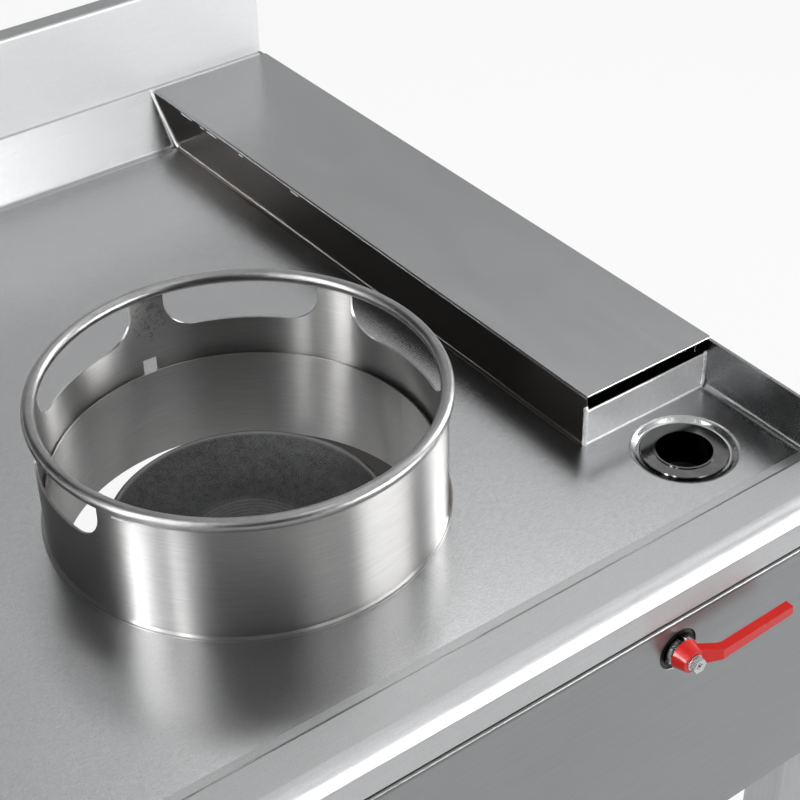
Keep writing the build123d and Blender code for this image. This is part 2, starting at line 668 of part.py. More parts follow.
# Body: a cast bowl that the cap closes, with a boss at the side for the venturi.
with BuildPart() as burner_body:
    with BuildSketch(cut_through(0, burner_y)):
        with BuildLine():
            Polyline(
                (0, -BODY_BASE),
                (BODY_BASE_RADIUS, -BODY_BASE),
                (CAP_SKIRT_RADIUS, -BODY_SHOULDER),
                (CAP_SKIRT_RADIUS, -SEAT_LEVEL),
                (skirt_inner + SPIGOT_CLEARANCE, -SEAT_LEVEL),
                (skirt_inner + SPIGOT_CLEARANCE, -BODY_SHOULDER),
                (BODY_BASE_RADIUS - BODY_WALL, -BODY_BASE + BODY_WALL),
                (0, -BODY_BASE + BODY_WALL),
                close=True,
            )
        make_face()
    revolve(axis=burner_axis)
    with BuildSketch(radial_plane(venturi_angle, CAP_SKIRT_RADIUS + BOSS_LENGTH, venturi_z)):
        Circle(VENTURI_END_BORE + VENTURI_WALL + BODY_WALL)
    extrude(amount=BODY_BASE_RADIUS - CAP_SKIRT_RADIUS - BOSS_LENGTH)
    with BuildSketch(cut_through(0, burner_y)):
        with BuildLine():
            Polyline(
                (0, 0),
                (skirt_inner + SPIGOT_CLEARANCE, 0),
                (skirt_inner + SPIGOT_CLEARANCE, -BODY_SHOULDER),
                (BODY_BASE_RADIUS - BODY_WALL, -BODY_BASE + BODY_WALL),
                (0, -BODY_BASE + BODY_WALL),
                close=True,
            )
        make_face()
    revolve(axis=burner_axis, mode=Mode.SUBTRACT)
    with BuildSketch(radial_plane(venturi_angle, CAP_SKIRT_RADIUS + BOSS_LENGTH, venturi_z)):
        Circle(VENTURI_END_BORE + VENTURI_WALL)
    extrude(amount=-BOSS_LENGTH - CAP_SKIRT_RADIUS, mode=Mode.SUBTRACT)
burner_body.part.label = "burner_body"
export_step(burner_body.part, "parts/burner_body.step")

# Venturi: throat and bell in one casting, with three arms out to the disc that holds the injector.
run = radians(venturi_angle)
venturi_plane = Plane(
    origin=(0, burner_y, venturi_z),
    x_dir=(cos(run), sin(run), 0),
    z_dir=(sin(run), -cos(run), 0),
)
venturi_axis = Axis((0, burner_y, venturi_z), (cos(run), sin(run), 0))
venturi_end = CAP_SKIRT_RADIUS - BOSS_LENGTH
throat_at = venturi_reach - 2 * BELL_LENGTH
arm_outer = BELL_RADIUS - ARM_INSET

with BuildPart() as venturi:
    with BuildSketch(venturi_plane):
        with BuildLine():
            Polyline(
                (venturi_end, VENTURI_END_BORE),
                (venturi_end, VENTURI_END_BORE + VENTURI_WALL),
                (CAP_SKIRT_RADIUS + BOSS_LENGTH, VENTURI_END_BORE + VENTURI_WALL),
                (throat_at, VENTURI_BORE + VENTURI_WALL),
                (venturi_reach - BELL_LENGTH, BELL_RADIUS),
                (venturi_reach, BELL_RADIUS),
                (venturi_reach, BELL_RADIUS - VENTURI_WALL),
                (venturi_reach - BELL_LENGTH + VENTURI_WALL, BELL_RADIUS - VENTURI_WALL),
                (throat_at, VENTURI_BORE),
                close=True,
            )
        make_face()
    revolve(axis=venturi_axis)
    with BuildSketch(radial_plane(venturi_angle, disc_at, venturi_z)):
        Circle(arm_outer)
        Circle(INJECTOR_RADIUS + SHUTTER_CLEARANCE, mode=Mode.SUBTRACT)
    extrude(amount=-DISC_THICK)
    with BuildSketch(radial_plane(venturi_angle, disc_at, venturi_z)):
        with PolarLocations(arm_outer - ARM_THICK / 2 - ARM_INSET, ARM_COUNT):
            Rectangle(ARM_THICK, ARM_WIDTH)
    extrude(amount=-ARM_LENGTH - BELL_LENGTH / 2)
venturi.part.label = "venturi"
export_step(venturi.part, "parts/venturi.step")

with BuildPart() as air_shutter:
    shutter_end = venturi_reach - SHUTTER_HOLD + SHUTTER_LENGTH
    with BuildSketch(radial_plane(venturi_angle, shutter_end, venturi_z)):
        Circle(BELL_RADIUS + SHUTTER_CLEARANCE + SHUTTER_WALL)
        Circle(BELL_RADIUS + SHUTTER_CLEARANCE, mode=Mode.SUBTRACT)
    extrude(amount=-SHUTTER_LENGTH)
air_shutter.part.label = "air_shutter"
export_step(air_shutter.part, "parts/air_shutter.step")

with BuildPart() as injector:
    with BuildSketch(radial_plane(venturi_angle, injector_out, venturi_z)):
        Circle(INJECTOR_RADIUS)
    extrude(amount=-INJECTOR_LENGTH)
    with BuildSketch(radial_plane(venturi_angle, injector_out, venturi_z)):
        RegularPolygon(INJECTOR_HEX / 2, 6, major_radius=False)
    extrude(amount=-INJECTOR_LENGTH / 2)
    chamfer(injector.faces().sort_by(venturi_axis)[0].edges(), INJECTOR_RADIUS / 2)
injector.part.label = "injector"
export_step(injector.part, "parts/injector.step")

# Hangers: two folded straps from the underside of the well to the foot of the burner.  The
# right-hand one also carries the sheet that shields the waste pipes from the burner's heat.
for name, side in (("burner_hanger_left", -1), ("burner_hanger_right", 1)):
    with BuildPart() as hanger:
        with BuildSketch(facing_front(burner_y + HANGER_WIDTH / 2)):
            with BuildLine():
                FilletPolyline(
                    (side * (HANGER_RADIUS + HANGER_FLANGE), DECK_HEIGHT - DECK_SHEET),
                    (side * HANGER_RADIUS, DECK_HEIGHT - DECK_SHEET),
                    (side * HANGER_RADIUS, DECK_HEIGHT - BODY_BASE),
                    (side * HANGER_INNER, DECK_HEIGHT - BODY_BASE),
                    radius=HANGER_BEND,
                )
                offset(amount=HANGER_THICK, side=Side.RIGHT if side < 0 else Side.LEFT)
            make_face()
        extrude(amount=HANGER_WIDTH)
        if side > 0:
            with BuildSketch(Plane.YZ.offset(HANGER_RADIUS)):
                with Locations((burner_y + SHIELD_FROM, DECK_HEIGHT - DECK_SHEET)):
                    Rectangle(SHIELD_TO - SHIELD_FROM, SHIELD_DROP, align=(Align.MIN, Align.MAX))
            extrude(amount=HANGER_THICK)
    hanger.part.label = name
    export_step(hanger.part, f"parts/{name}.step")

# ============================================================================================
# Pilot burner and flame probe, each with its lead down and across to the gas tap
# ============================================================================================

def at_burner(angle, radius):
    """Plan position at an angle and radius from the burner's centre."""
    a = radians(angle)
    return radius * cos(a), burner_y + radius * sin(a)


for name, angle, body, lead_level, tap_step in (
    ("pilot_burner", PILOT_ANGLE, PILOT_BODY, PILOT_LEAD_LEVEL, 1),
    ("flame_probe", PROBE_ANGLE, PROBE_BODY, PROBE_LEAD_LEVEL, -1),
):
    lead_z = DECK_HEIGHT - lead_level
    top_x, top_y = at_burner(angle, PILOT_RADIUS)
    tap_x = knob_x + tap_step * TAP_RADIUS / 2
    with BuildPart() as probe:
        with BuildSketch(Plane.XY.offset(DECK_HEIGHT - PILOT_TOP)):
            with Locations((top_x, top_y)):
                Circle(body)
        extrude(amount=PILOT_TOP - SEAT_LEVEL - 2 * BODY_WALL)
        with BuildLine():
            FilletPolyline(
                (top_x, top_y, DECK_HEIGHT - SEAT_LEVEL - BODY_WALL),
                (top_x, top_y, lead_z),
                (tap_x, tap_back + 2 * LEAD_BEND, lead_z),
                (tap_x, tap_back + 2 * LEAD_BEND, knob_z),
                (tap_x, tap_back, knob_z),
                radius=LEAD_BEND,
            )
        with BuildSketch(Plane.XY.offset(DECK_HEIGHT - SEAT_LEVEL - BODY_WALL)):
            with Locations((top_x, top_y)):
                Circle(LEAD_RADIUS)
        sweep()
    probe.part.label = name
    export_step(probe.part, f"parts/{name}.step")

# Bracket: a plate on the side of the burner body that holds the pilot and the probe.
bracket_angle = (PILOT_ANGLE + PROBE_ANGLE) / 2
bracket_reach = PILOT_RADIUS + PILOT_BODY + BRACKET_MARGIN - CAP_SKIRT_RADIUS + BODY_WALL
bracket_mid = CAP_SKIRT_RADIUS - BODY_WALL + bracket_reach / 2
with BuildPart() as pilot_bracket:
    with BuildSketch(Plane.XY.offset(DECK_HEIGHT - SEAT_LEVEL - 2 * BODY_WALL)):
        with Locations(Location((*at_burner(bracket_angle, bracket_mid), 0), (0, 0, bracket_angle))):
            Rectangle(bracket_reach, BRACKET_WIDTH)
        with Locations((0, burner_y)):
            Circle(CAP_SKIRT_RADIUS, mode=Mode.SUBTRACT)
        for angle, body in ((PILOT_ANGLE, PILOT_BODY), (PROBE_ANGLE, PROBE_BODY)):
            with Locations(at_burner(angle, PILOT_RADIUS)):
                Circle(body, mode=Mode.SUBTRACT)
    extrude(amount=DECK_SHEET)
pilot_bracket.part.label = "pilot_bracket"
export_step(pilot_bracket.part, "parts/pilot_bracket.step")

# ============================================================================================
# Gas supply: inlet pipe, tap with spring plunger and spindle, knob, feed pipe to the injector
# ============================================================================================
with BuildPart() as gas_tap_body:
    with BuildSketch(facing_front(tap_back)):
        with Locations((knob_x, knob_z)):
            Circle(TAP_RADIUS)
    extrude(amount=TAP_LENGTH)
    with BuildSketch(facing_front(tap_front + TAP_FLANGE_THICK)):
        with Locations((knob_x, knob_z)):
            Circle(TAP_FLANGE_RADIUS)
    extrude(amount=TAP_FLANGE_THICK)
    with BuildSketch(Plane.YZ.offset(knob_x - TAP_RADIUS - UNION_LENGTH)):
        with Locations((port_y, knob_z)):
            RegularPolygon(UNION_HEX / 2, 6, major_radius=False)
            Circle(INLET_RADIUS, mode=Mode.SUBTRACT)
    extrude(amount=UNION_LENGTH + TAP_RADIUS / 2)
    with BuildSketch(Plane.XY.offset(knob_z + TAP_RADIUS / 2)):
        with Locations((knob_x, port_y)):
            RegularPolygon(INJECTOR_HEX / 2, 6, major_radius=False)
            Circle(PIPE_RADIUS, mode=Mode.SUBTRACT)
    extrude(amount=UNION_LENGTH + TAP_RADIUS / 2)
    # Bore for the spindle, widened at the back for the plunger.
    with BuildSketch(facing_front(tap_back - TAP_LENGTH / 2)):
        with Locations((knob_x, knob_z)):
            Circle(SPINDLE_RADIUS + SPINDLE_CLEARANCE)
    extrude(amount=TAP_LENGTH, mode=Mode.SUBTRACT)
    with BuildSketch(facing_front(port_y + TAP_LENGTH / 4)):
        with Locations((knob_x, knob_z)):
            Circle(PLUNGER_RADIUS + SPINDLE_CLEARANCE)
    extrude(amount=TAP_LENGTH / 2, mode=Mode.SUBTRACT)
gas_tap_body.part.label = "gas_tap_body"
export_step(gas_tap_body.part, "parts/gas_tap_body.step")

bezel_front = panel_y - BEZEL_THICK
knob_back = bezel_front - PLUNGER_TRAVEL - KNOB_CLEARANCE
spindle_back = port_y

with BuildPart() as gas_tap_plunger:
    with BuildSketch(facing_front(spindle_back + PLUNGER_LENGTH)):
        with Locations((knob_x, knob_z)):
            Circle(PLUNGER_RADIUS)
    extrude(amount=PLUNGER_LENGTH)
gas_tap_plunger.part.label = "gas_tap_plunger"
export_step(gas_tap_plunger.part, "parts/gas_tap_plunger.step")

with BuildPart() as gas_tap_spindle:
    with BuildSketch(facing_front(spindle_back)):
        with Locations((knob_x, knob_z)):
            Circle(SPINDLE_RADIUS)
    extrude(amount=spindle_back - knob_back + KNOB_LENGTH / 2)
gas_tap_spindle.part.label = "gas_tap_spindle"
export_step(gas_tap_spindle.part, "parts/gas_tap_spindle.step")

with BuildPart() as gas_knob:
    with BuildSketch(facing_front(knob_back)):
        with Locations((knob_x, knob_z)):
            Circle(KNOB_SKIRT_RADIUS)
    extrude(amount=KNOB_SKIRT_THICK)
    with BuildSketch(facing_front(knob_back - KNOB_SKIRT_THICK)):
        with Locations((knob_x, knob_z)):
            Circle(KNOB_RADIUS)
            with PolarLocations(KNOB_RADIUS + KNOB_SLOT_RADIUS / 2, KNOB_SLOT_COUNT):
                Circle(KNOB_SLOT_RADIUS, mode=Mode.SUBTRACT)
    extrude(amount=KNOB_LENGTH - KNOB_SKIRT_THICK, taper=KNOB_TAPER)
    with BuildSketch(facing_front(knob_back)):
        with Locations((knob_x, knob_z)):
            Circle(SPINDLE_RADIUS)
    extrude(amount=KNOB_LENGTH / 2, mode=Mode.SUBTRACT)
gas_knob.part.label = "gas_knob"
export_step(gas_knob.part, "parts/gas_knob.step")

with BuildPart() as knob_bezel:
    with BuildSketch(facing_front(panel_y)):
        with Locations((knob_x, knob_z)):
            Circle(BEZEL_RADIUS)
            Circle(SPINDLE_RADIUS + 2 * PANEL_SHEET, mode=Mode.SUBTRACT)
    extrude(amount=BEZEL_THICK)
knob_bezel.part.label = "knob_bezel"
export_step(knob_bezel.part, "parts/knob_bezel.step")

with BuildPart() as gas_feed_pipe:
    with BuildLine():
        FilletPolyline(
            (knob_x, port_y, knob_z + TAP_RADIUS),
            (knob_x, port_y, venturi_z),
            (*at_burner(venturi_angle, injector_out), venturi_z),
            radius=PIPE_BEND,
        )
    with BuildSketch(Plane.XY.offset(knob_z + TAP_RADIUS)):
        with Locations((knob_x, port_y)):
            Circle(PIPE_RADIUS)
            Circle(PIPE_RADIUS - PIPE_WALL, mode=Mode.SUBTRACT)
    sweep()
gas_feed_pipe.part.label = "gas_feed_pipe"
export_step(gas_feed_pipe.part, "parts/gas_feed_pipe.step")

inlet_y = back_y - INLET_FROM_BACK
inlet_end = base_z - INLET_DROP
with BuildPart() as gas_inlet_pipe:
    with BuildLine():
        FilletPolyline(
            (inlet_x, inlet_y, inlet_end),
            (inlet_x, inlet_y, knob_z),
            (inlet_x, port_y, knob_z),
            (knob_x - TAP_RADIUS, port_y, knob_z),
            radius=INLET_BEND,
        )
    with BuildSketch(Plane.XY.offset(inlet_end)):
        with Locations((inlet_x, inlet_y)):
            Circle(INLET_RADIUS)
            Circle(INLET_RADIUS - INLET_WALL, mode=Mode.SUBTRACT)
    sweep()
gas_inlet_pipe.part.label = "gas_inlet_pipe"
export_step(gas_inlet_pipe.part, "parts/gas_inlet_pipe.step")

# ============================================================================================
# Igniter: push button in a collar on the front panel, with its spark unit behind
# ============================================================================================
button_front = panel_y - IGNITER_COLLAR_THICK - BUTTON_PROUD
button_back = button_front + BUTTON_LENGTH

with BuildPart() as igniter_body:
    with BuildSketch(facing_front(panel_y)):
        with Locations((igniter_x, knob_z)):
            Circle(IGNITER_COLLAR)
    extrude(amount=IGNITER_COLLAR_THICK)
    with BuildSketch(facing_front(panel_y + IGNITER_LENGTH)):
        with Locations((igniter_x, knob_z)):
            Circle(IGNITER_BODY)
    extrude(amount=IGNITER_LENGTH)
    with BuildSketch(facing_front(button_back + 2 * BUTTON_TRAVEL)):
        with Locations((igniter_x, knob_z)):
            Circle(BUTTON_RADIUS + BUTTON_CLEARANCE)
    extrude(amount=2 * BUTTON_LENGTH, mode=Mode.SUBTRACT)
igniter_body.part.label = "igniter_body"
export_step(igniter_body.part, "parts/igniter_body.step")

with BuildPart() as igniter_button:
    with BuildSketch(facing_front(button_back)):
        with Locations((igniter_x, knob_z)):
            Circle(BUTTON_RADIUS)
    extrude(amount=BUTTON_LENGTH)
    fillet(igniter_button.faces().sort_by(Axis.Y)[0].edges(), BUTTON_ROUND)
igniter_button.part.label = "igniter_button"
export_step(igniter_button.part, "parts/igniter_button.step")

# ============================================================================================
# Drain: chrome flange and throat, gasket, lock nut, waste bowl, pipe to the valve
# ============================================================================================
flange_top = -DISH_DEPTH + FLANGE_THICK
throat_outer = THROAT_RADIUS + THROAT_WALL
throat_end = flange_top - THROAT_LENGTH
nut_top = -DISH_DEPTH - DECK_SHEET - GASKET_THICK
nut_bottom = nut_top - LOCKNUT_THICK
valve_z = DECK_HEIGHT - VALVE_DROP
ball_y = panel_y + VALVE_BACK
trap_outer = throat_outer + TRAP_WALL

with BuildPart() as drain_flange:
    with BuildSketch(cut_through(drain_x, drain_y)):
        with BuildLine():
            Polyline(
                (THROAT_RADIUS, throat_end),
                (THROAT_RADIUS, flange_top + THROAT_LIP),
                (THROAT_RADIUS + THROAT_LIP_WIDTH, flange_top + THROAT_LIP),
                (THROAT_RADIUS + THROAT_LIP_WIDTH, flange_top),
                (FLANGE_RADIUS - FLANGE_EDGE, flange_top),
                (FLANGE_RADIUS, flange_top - FLANGE_EDGE),
                (FLANGE_RADIUS, -DISH_DEPTH),
                (throat_outer, -DISH_DEPTH),
                (throat_outer, throat_end),
                close=True,
            )
        make_face()
    revolve(axis=drain_axis)
drain_flange.part.label = "drain_flange"
export_step(drain_flange.part, "parts/drain_flange.step")

with BuildPart() as drain_gasket:
    with BuildSketch(Plane.XY.offset(DECK_HEIGHT + nut_top)):
        with Locations((drain_x, drain_y)):
            Circle(LOCKNUT_HEX / 2)
            Circle(throat_outer + SPIGOT_CLEARANCE, mode=Mode.SUBTRACT)
    extrude(amount=GASKET_THICK)
drain_gasket.part.label = "drain_gasket"
export_step(drain_gasket.part, "parts/drain_gasket.step")

with BuildPart() as drain_locknut:
    with BuildSketch(Plane.XY.offset(DECK_HEIGHT + nut_bottom)):
        with Locations((drain_x, drain_y)):
            RegularPolygon(LOCKNUT_HEX / 2, 6, major_radius=False)
            Circle(throat_outer + THREAD_CLEARANCE, mode=Mode.SUBTRACT)
    extrude(amount=LOCKNUT_THICK)
drain_locknut.part.label = "drain_locknut"
export_step(drain_locknut.part, "parts/drain_locknut.step")

# Waste bowl: screwed on the throat, with a side spigot towards the front.
with BuildPart() as waste_bowl:
    with BuildSketch(cut_through(drain_x, drain_y)):
        with BuildLine():
            Polyline(
                (trap_outer, -VALVE_DROP),
                (trap_outer, nut_bottom),
                (0, nut_bottom),
                (0, -TRAP_DROP),
                (trap_outer - WASTE_RADIUS, -TRAP_DROP),
            )
            RadiusArc(
                (trap_outer - WASTE_RADIUS, -TRAP_DROP),
                (trap_outer, -VALVE_DROP),
                -TRAP_ROUND,
            )
        make_face()
    revolve(axis=drain_axis)
    with BuildSketch(facing_front(drain_y)):
        with Locations((drain_x, valve_z)):
            Circle(WASTE_RADIUS)
    extrude(amount=trap_outer + WASTE_STUB)
    with BuildSketch(cut_through(drain_x, drain_y)):
        with BuildLine():
            Polyline(
                (0, nut_bottom),
                (throat_outer + THREAD_CLEARANCE, nut_bottom),
                (throat_outer + THREAD_CLEARANCE, throat_end),
                (THROAT_RADIUS, throat_end),
                (THROAT_RADIUS, -VALVE_DROP),
                (THROAT_RADIUS - WASTE_BORE, -TRAP_DROP + TRAP_WALL),
                (0, -TRAP_DROP + TRAP_WALL),
                close=True,
            )
        make_face()
    revolve(axis=drain_axis, mode=Mode.SUBTRACT)
    with BuildSketch(facing_front(drain_y)):
        with Locations((drain_x, valve_z)):
            Circle(WASTE_BORE)
    extrude(amount=trap_outer + WASTE_STUB, mode=Mode.SUBTRACT)
waste_bowl.part.label = "waste_bowl"
export_step(waste_bowl.part, "parts/waste_bowl.step")

valve_right = valve_x + VALVE_LENGTH / 2
valve_left = valve_x - VALVE_LENGTH / 2
pipe_start_y = drain_y - trap_outer - WASTE_STUB
with BuildPart() as drain_pipe:
    with BuildLine():
        FilletPolyline(
            (drain_x, pipe_start_y, valve_z),
            (drain_x, ball_y, valve_z),
            (valve_right, ball_y, valve_z),
            radius=ELBOW_BEND,
        )
    with BuildSketch(facing_front(pipe_start_y)):
        with Locations((drain_x, valve_z)):
            Circle(WASTE_RADIUS)
            Circle(WASTE_BORE, mode=Mode.SUBTRACT)
    sweep()
drain_pipe.part.label = "drain_pipe"
export_step(drain_pipe.part, "parts/drain_pipe.step")

# ============================================================================================
# Drain valve: body with ball and stem tower, stop plate, gland nut, red lever and its nut
# ============================================================================================
stop_back = panel_y - STOP_GAP
stop_front = stop_back - STOP_THICK
gland_front = stop_front - GLAND_THICK
hub_back = gland_front - HUB_GAP
hub_front = hub_back - HUB_LENGTH
washer_front = hub_front - WASHER_THICK
nut_front = washer_front - NUT_THICK
lever_front = panel_y - LEVER_STANDOFF

with BuildPart() as drain_valve_body:
    with BuildSketch(Plane.YZ.offset(valve_left)):
        with Locations((ball_y, valve_z)):
            Circle(VALVE_RADIUS)
    extrude(amount=VALVE_LENGTH)
    for end_x in (valve_left, valve_right - VALVE_HEX_LENGTH):
        with BuildSketch(Plane.YZ.offset(end_x)):
            with Locations((ball_y, valve_z)):
                RegularPolygon(VALVE_HEX / 2, 6, major_radius=False)
        extrude(amount=VALVE_HEX_LENGTH)
    with BuildSketch(facing_front(ball_y)):
        with Locations((valve_x, valve_z)):
            Circle(TOWER_RADIUS)
    extrude(amount=ball_y - stop_back)
    with BuildSketch(Plane.YZ.offset(valve_left)):
        with Locations((ball_y, valve_z)):
            Circle(BALL_BORE)
    extrude(amount=VALVE_LENGTH, mode=Mode.SUBTRACT)
    with Locations((valve_x, ball_y, valve_z)):
        Sphere(BALL_RADIUS + BALL_CLEARANCE, mode=Mode.SUBTRACT)
    with BuildSketch(facing_front(ball_y)):
        with Locations((valve_x, valve_z)):
            Circle(STEM_RADIUS + STEM_CLEARANCE)
    extrude(amount=ball_y - stop_back, mode=Mode.SUBTRACT)
drain_valve_body.part.label = "drain_valve_body"
export_step(drain_valve_body.part, "parts/drain_valve_body.step")

with BuildPart() as drain_valve_ball:
    with Locations((valve_x, ball_y, valve_z)):
        Sphere(BALL_RADIUS)
    with BuildSketch(Plane.YZ.offset(valve_left)):
        with Locations((ball_y, valve_z)):
            Circle(BALL_BORE)
    extrude(amount=VALVE_LENGTH, mode=Mode.SUBTRACT)
    split(bisect_by=facing_front(ball_y - BALL_FLAT), keep=Keep.BOTTOM)
drain_valve_ball.part.label = "drain_valve_ball"
export_step(drain_valve_ball.part, "parts/drain_valve_ball.step")

with BuildPart() as drain_valve_stem:
    with BuildSketch(facing_front(ball_y - BALL_FLAT)):
        with Locations((valve_x, valve_z)):
            Circle(STEM_RADIUS)
    extrude(amount=ball_y - BALL_FLAT - hub_front)
    with BuildSketch(facing_front(hub_front)):
        with Locations((valve_x, valve_z)):
            Circle(STUD_RADIUS)
    extrude(amount=hub_front - nut_front + STUD_PROUD)
    chamfer(drain_valve_stem.faces().sort_by(Axis.Y)[0].edges(), STUD_CHAMFER)
drain_valve_stem.part.label = "drain_valve_stem"
export_step(drain_valve_stem.part, "parts/drain_valve_stem.step")

with BuildPart() as valve_stop_plate:
    with BuildSketch(facing_front(stop_back)):
        with Locations((valve_x, valve_z)):
            Circle(STOP_RADIUS)
            Circle(STEM_RADIUS + GLAND_CLEARANCE, mode=Mode.SUBTRACT)
    extrude(amount=STOP_THICK)
    with BuildSketch(facing_front(stop_back)):
        with Locations((valve_x - STOP_PIN_RADIUS, valve_z + STOP_RADIUS - STOP_PIN_RADIUS / 2)):
            Circle(STOP_PIN_RADIUS)
    extrude(amount=STOP_THICK + STOP_PIN_LENGTH)
valve_stop_plate.part.label = "valve_stop_plate"
export_step(valve_stop_plate.part, "parts/valve_stop_plate.step")

with BuildPart() as valve_gland_nut:
    with BuildSketch(facing_front(stop_front)):
        with Locations((valve_x, valve_z)):
            Circle(GLAND_RADIUS)
            Circle(STEM_RADIUS + GLAND_CLEARANCE, mode=Mode.SUBTRACT)
    extrude(amount=GLAND_THICK)
valve_gland_nut.part.label = "valve_gland_nut"
export_step(valve_gland_nut.part, "parts/valve_gland_nut.step")

# Lever: a cast hub and a cranked, tapering bar; the whole turns about the stem.
lever_plane = Plane(
    origin=(valve_x, 0, valve_z),
    x_dir=(cos(radians(LEVER_TILT)), 0, sin(radians(LEVER_TILT))),
    z_dir=(-sin(radians(LEVER_TILT)), 0, cos(radians(LEVER_TILT))),
)
with BuildPart() as drain_lever:
    with BuildSketch(facing_front(hub_back)):
        with Locations((valve_x, valve_z)):
            Circle(HUB_RADIUS)
    extrude(amount=HUB_LENGTH, taper=HUB_TAPER)
    with BuildSketch(lever_plane.offset(-LEVER_NECK / 2)):
        with BuildLine():
            Polyline(
                (LEVER_ROOT, lever_front + LEVER_CRANK_RISE),
                (LEVER_CRANK, lever_front),
                (LEVER_LENGTH, lever_front),
                (LEVER_LENGTH, lever_front + LEVER_THICK),
                (LEVER_CRANK + LEVER_THICK / 2, lever_front + LEVER_THICK),
                (LEVER_ROOT, lever_front + LEVER_CRANK_RISE + LEVER_THICK),
                close=True,
            )
        make_face()
    extrude(amount=LEVER_NECK)
    # The bar narrows from the hub to the bend and on to its tip, above and below.
    lever_face = Plane(
        origin=(valve_x, lever_front, valve_z), x_dir=lever_plane.x_dir, z_dir=(0, -1, 0)
    )
    with BuildSketch(lever_face):
        for side in (-1, 1):
            with BuildLine():
                Polyline(
                    (LEVER_ROOT, side * LEVER_NECK / 2),
                    (LEVER_CRANK, side * LEVER_HEIGHT / 2),
                    (LEVER_LENGTH, side * LEVER_TIP_HEIGHT / 2),
                    (LEVER_LENGTH, side * LEVER_NECK),
                    (LEVER_ROOT, side * LEVER_NECK),
                    close=True,
                )
            make_face()
    extrude(amount=-LEVER_CRANK_RISE - LEVER_THICK, mode=Mode.SUBTRACT)
    with BuildSketch(facing_front(hub_back)):
        with Locations((valve_x, valve_z)):
            Circle(STEM_RADIUS)
    extrude(amount=LEVER_STANDOFF, mode=Mode.SUBTRACT)
drain_lever.part.label = "drain_lever"
export_step(drain_lever.part, "parts/drain_lever.step")

with BuildPart() as lever_nut:
    with BuildSketch(facing_front(hub_front)):
        with Locations((valve_x, valve_z)):
            Circle(WASHER_RADIUS)
            Circle(STUD_RADIUS, mode=Mode.SUBTRACT)
    extrude(amount=WASHER_THICK)
    with BuildSketch(facing_front(washer_front)):
        with Locations((valve_x, valve_z)):
            RegularPolygon(NUT_HEX / 2, 6, major_radius=False)
            Circle(STUD_RADIUS, mode=Mode.SUBTRACT)
    extrude(amount=NUT_THICK)
lever_nut.part.label = "lever_nut"
export_step(lever_nut.part, "parts/lever_nut.step")

# ============================================================================================
# Waste pipe down from the valve and overflow pipe from the channel, joined below the valve
# ============================================================================================
outlet_end = DECK_HEIGHT - OUTLET_DROP
overflow_y = back_y - OVERFLOW_FROM_BACK
overflow_z = DECK_HEIGHT - OVERFLOW_LEVEL
turn_y = burner_y - OVERFLOW_TURN

bend_start_z = valve_z - WASTE_BEND
with BuildPart() as waste_pipe:
    with BuildSketch(Plane.XY.offset(outlet_end)):
        with Locations((outlet_x, ball_y)):
            Circle(OUTLET_SPIGOT_RADIUS)
    extrude(amount=OUTLET_SPIGOT)
    with BuildSketch(Plane.XY.offset(outlet_end + OUTLET_SPIGOT)):
        with Locations((outlet_x, ball_y)):
            Circle(WASTE_RADIUS)
    extrude(amount=bend_start_z - outlet_end - OUTLET_SPIGOT)
    # Socket for the overflow pipe.
    with BuildSketch(facing_front(ball_y + WASTE_RADIUS + TEE_LENGTH)):
        with Locations((outlet_x, overflow_z)):
            Circle(WASTE_RADIUS - TEE_STEP)
    extrude(amount=WASTE_RADIUS + TEE_LENGTH)
    with BuildSketch(facing_front(ball_y + WASTE_RADIUS + TEE_LENGTH)):
        with Locations((outlet_x, overflow_z)):
            Circle(OVERFLOW_RADIUS + THREAD_CLEARANCE)
    extrude(amount=TEE_LENGTH, mode=Mode.SUBTRACT)
    with BuildSketch(facing_front(ball_y + WASTE_RADIUS)):
        with Locations((outlet_x, overflow_z)):
            Circle(OVERFLOW_RADIUS - OVERFLOW_WALL)
    extrude(amount=WASTE_RADIUS, mode=Mode.SUBTRACT)
    with BuildSketch(Plane.XY.offset(outlet_end)):
        with Locations((outlet_x, ball_y)):
            Circle(WASTE_BORE)
    extrude(amount=bend_start_z - outlet_end, mode=Mode.SUBTRACT)
    with BuildLine(facing_front(ball_y)):
        JernArc(start=(outlet_x, bend_start_z), tangent=(0, 1), radius=WASTE_BEND, arc_size=-90)
        Line((outlet_x + WASTE_BEND, valve_z), (valve_left, valve_z))
    with BuildSketch(Plane.XY.offset(bend_start_z)):
        with Locations((outlet_x, ball_y)):
            Circle(WASTE_RADIUS)
            Circle(WASTE_BORE, mode=Mode.SUBTRACT)
    sweep()
waste_pipe.part.label = "waste_pipe"
export_step(waste_pipe.part, "parts/waste_pipe.step")

with BuildPart() as overflow_pipe:
    with BuildLine():
        FilletPolyline(
            (overflow_x, overflow_y, DECK_HEIGHT),
            (overflow_x, overflow_y, overflow_z),
            (overflow_x, turn_y, overflow_z),
            (outlet_x, turn_y, overflow_z),
            (outlet_x, ball_y + WASTE_RADIUS, overflow_z),
            radius=WASTE_BEND,
        )
    with BuildSketch(Plane.XY.offset(DECK_HEIGHT)):
        with Locations((overflow_x, overflow_y)):
            Circle(OVERFLOW_RADIUS)
            Circle(OVERFLOW_RADIUS - OVERFLOW_WALL, mode=Mode.SUBTRACT)
    sweep()
overflow_pipe.part.label = "overflow_pipe"
export_step(overflow_pipe.part, "parts/overflow_pipe.step")

# ============================================================================================
# Body panels and screws
# ============================================================================================
side_inner = half_width - PANEL_SHEET

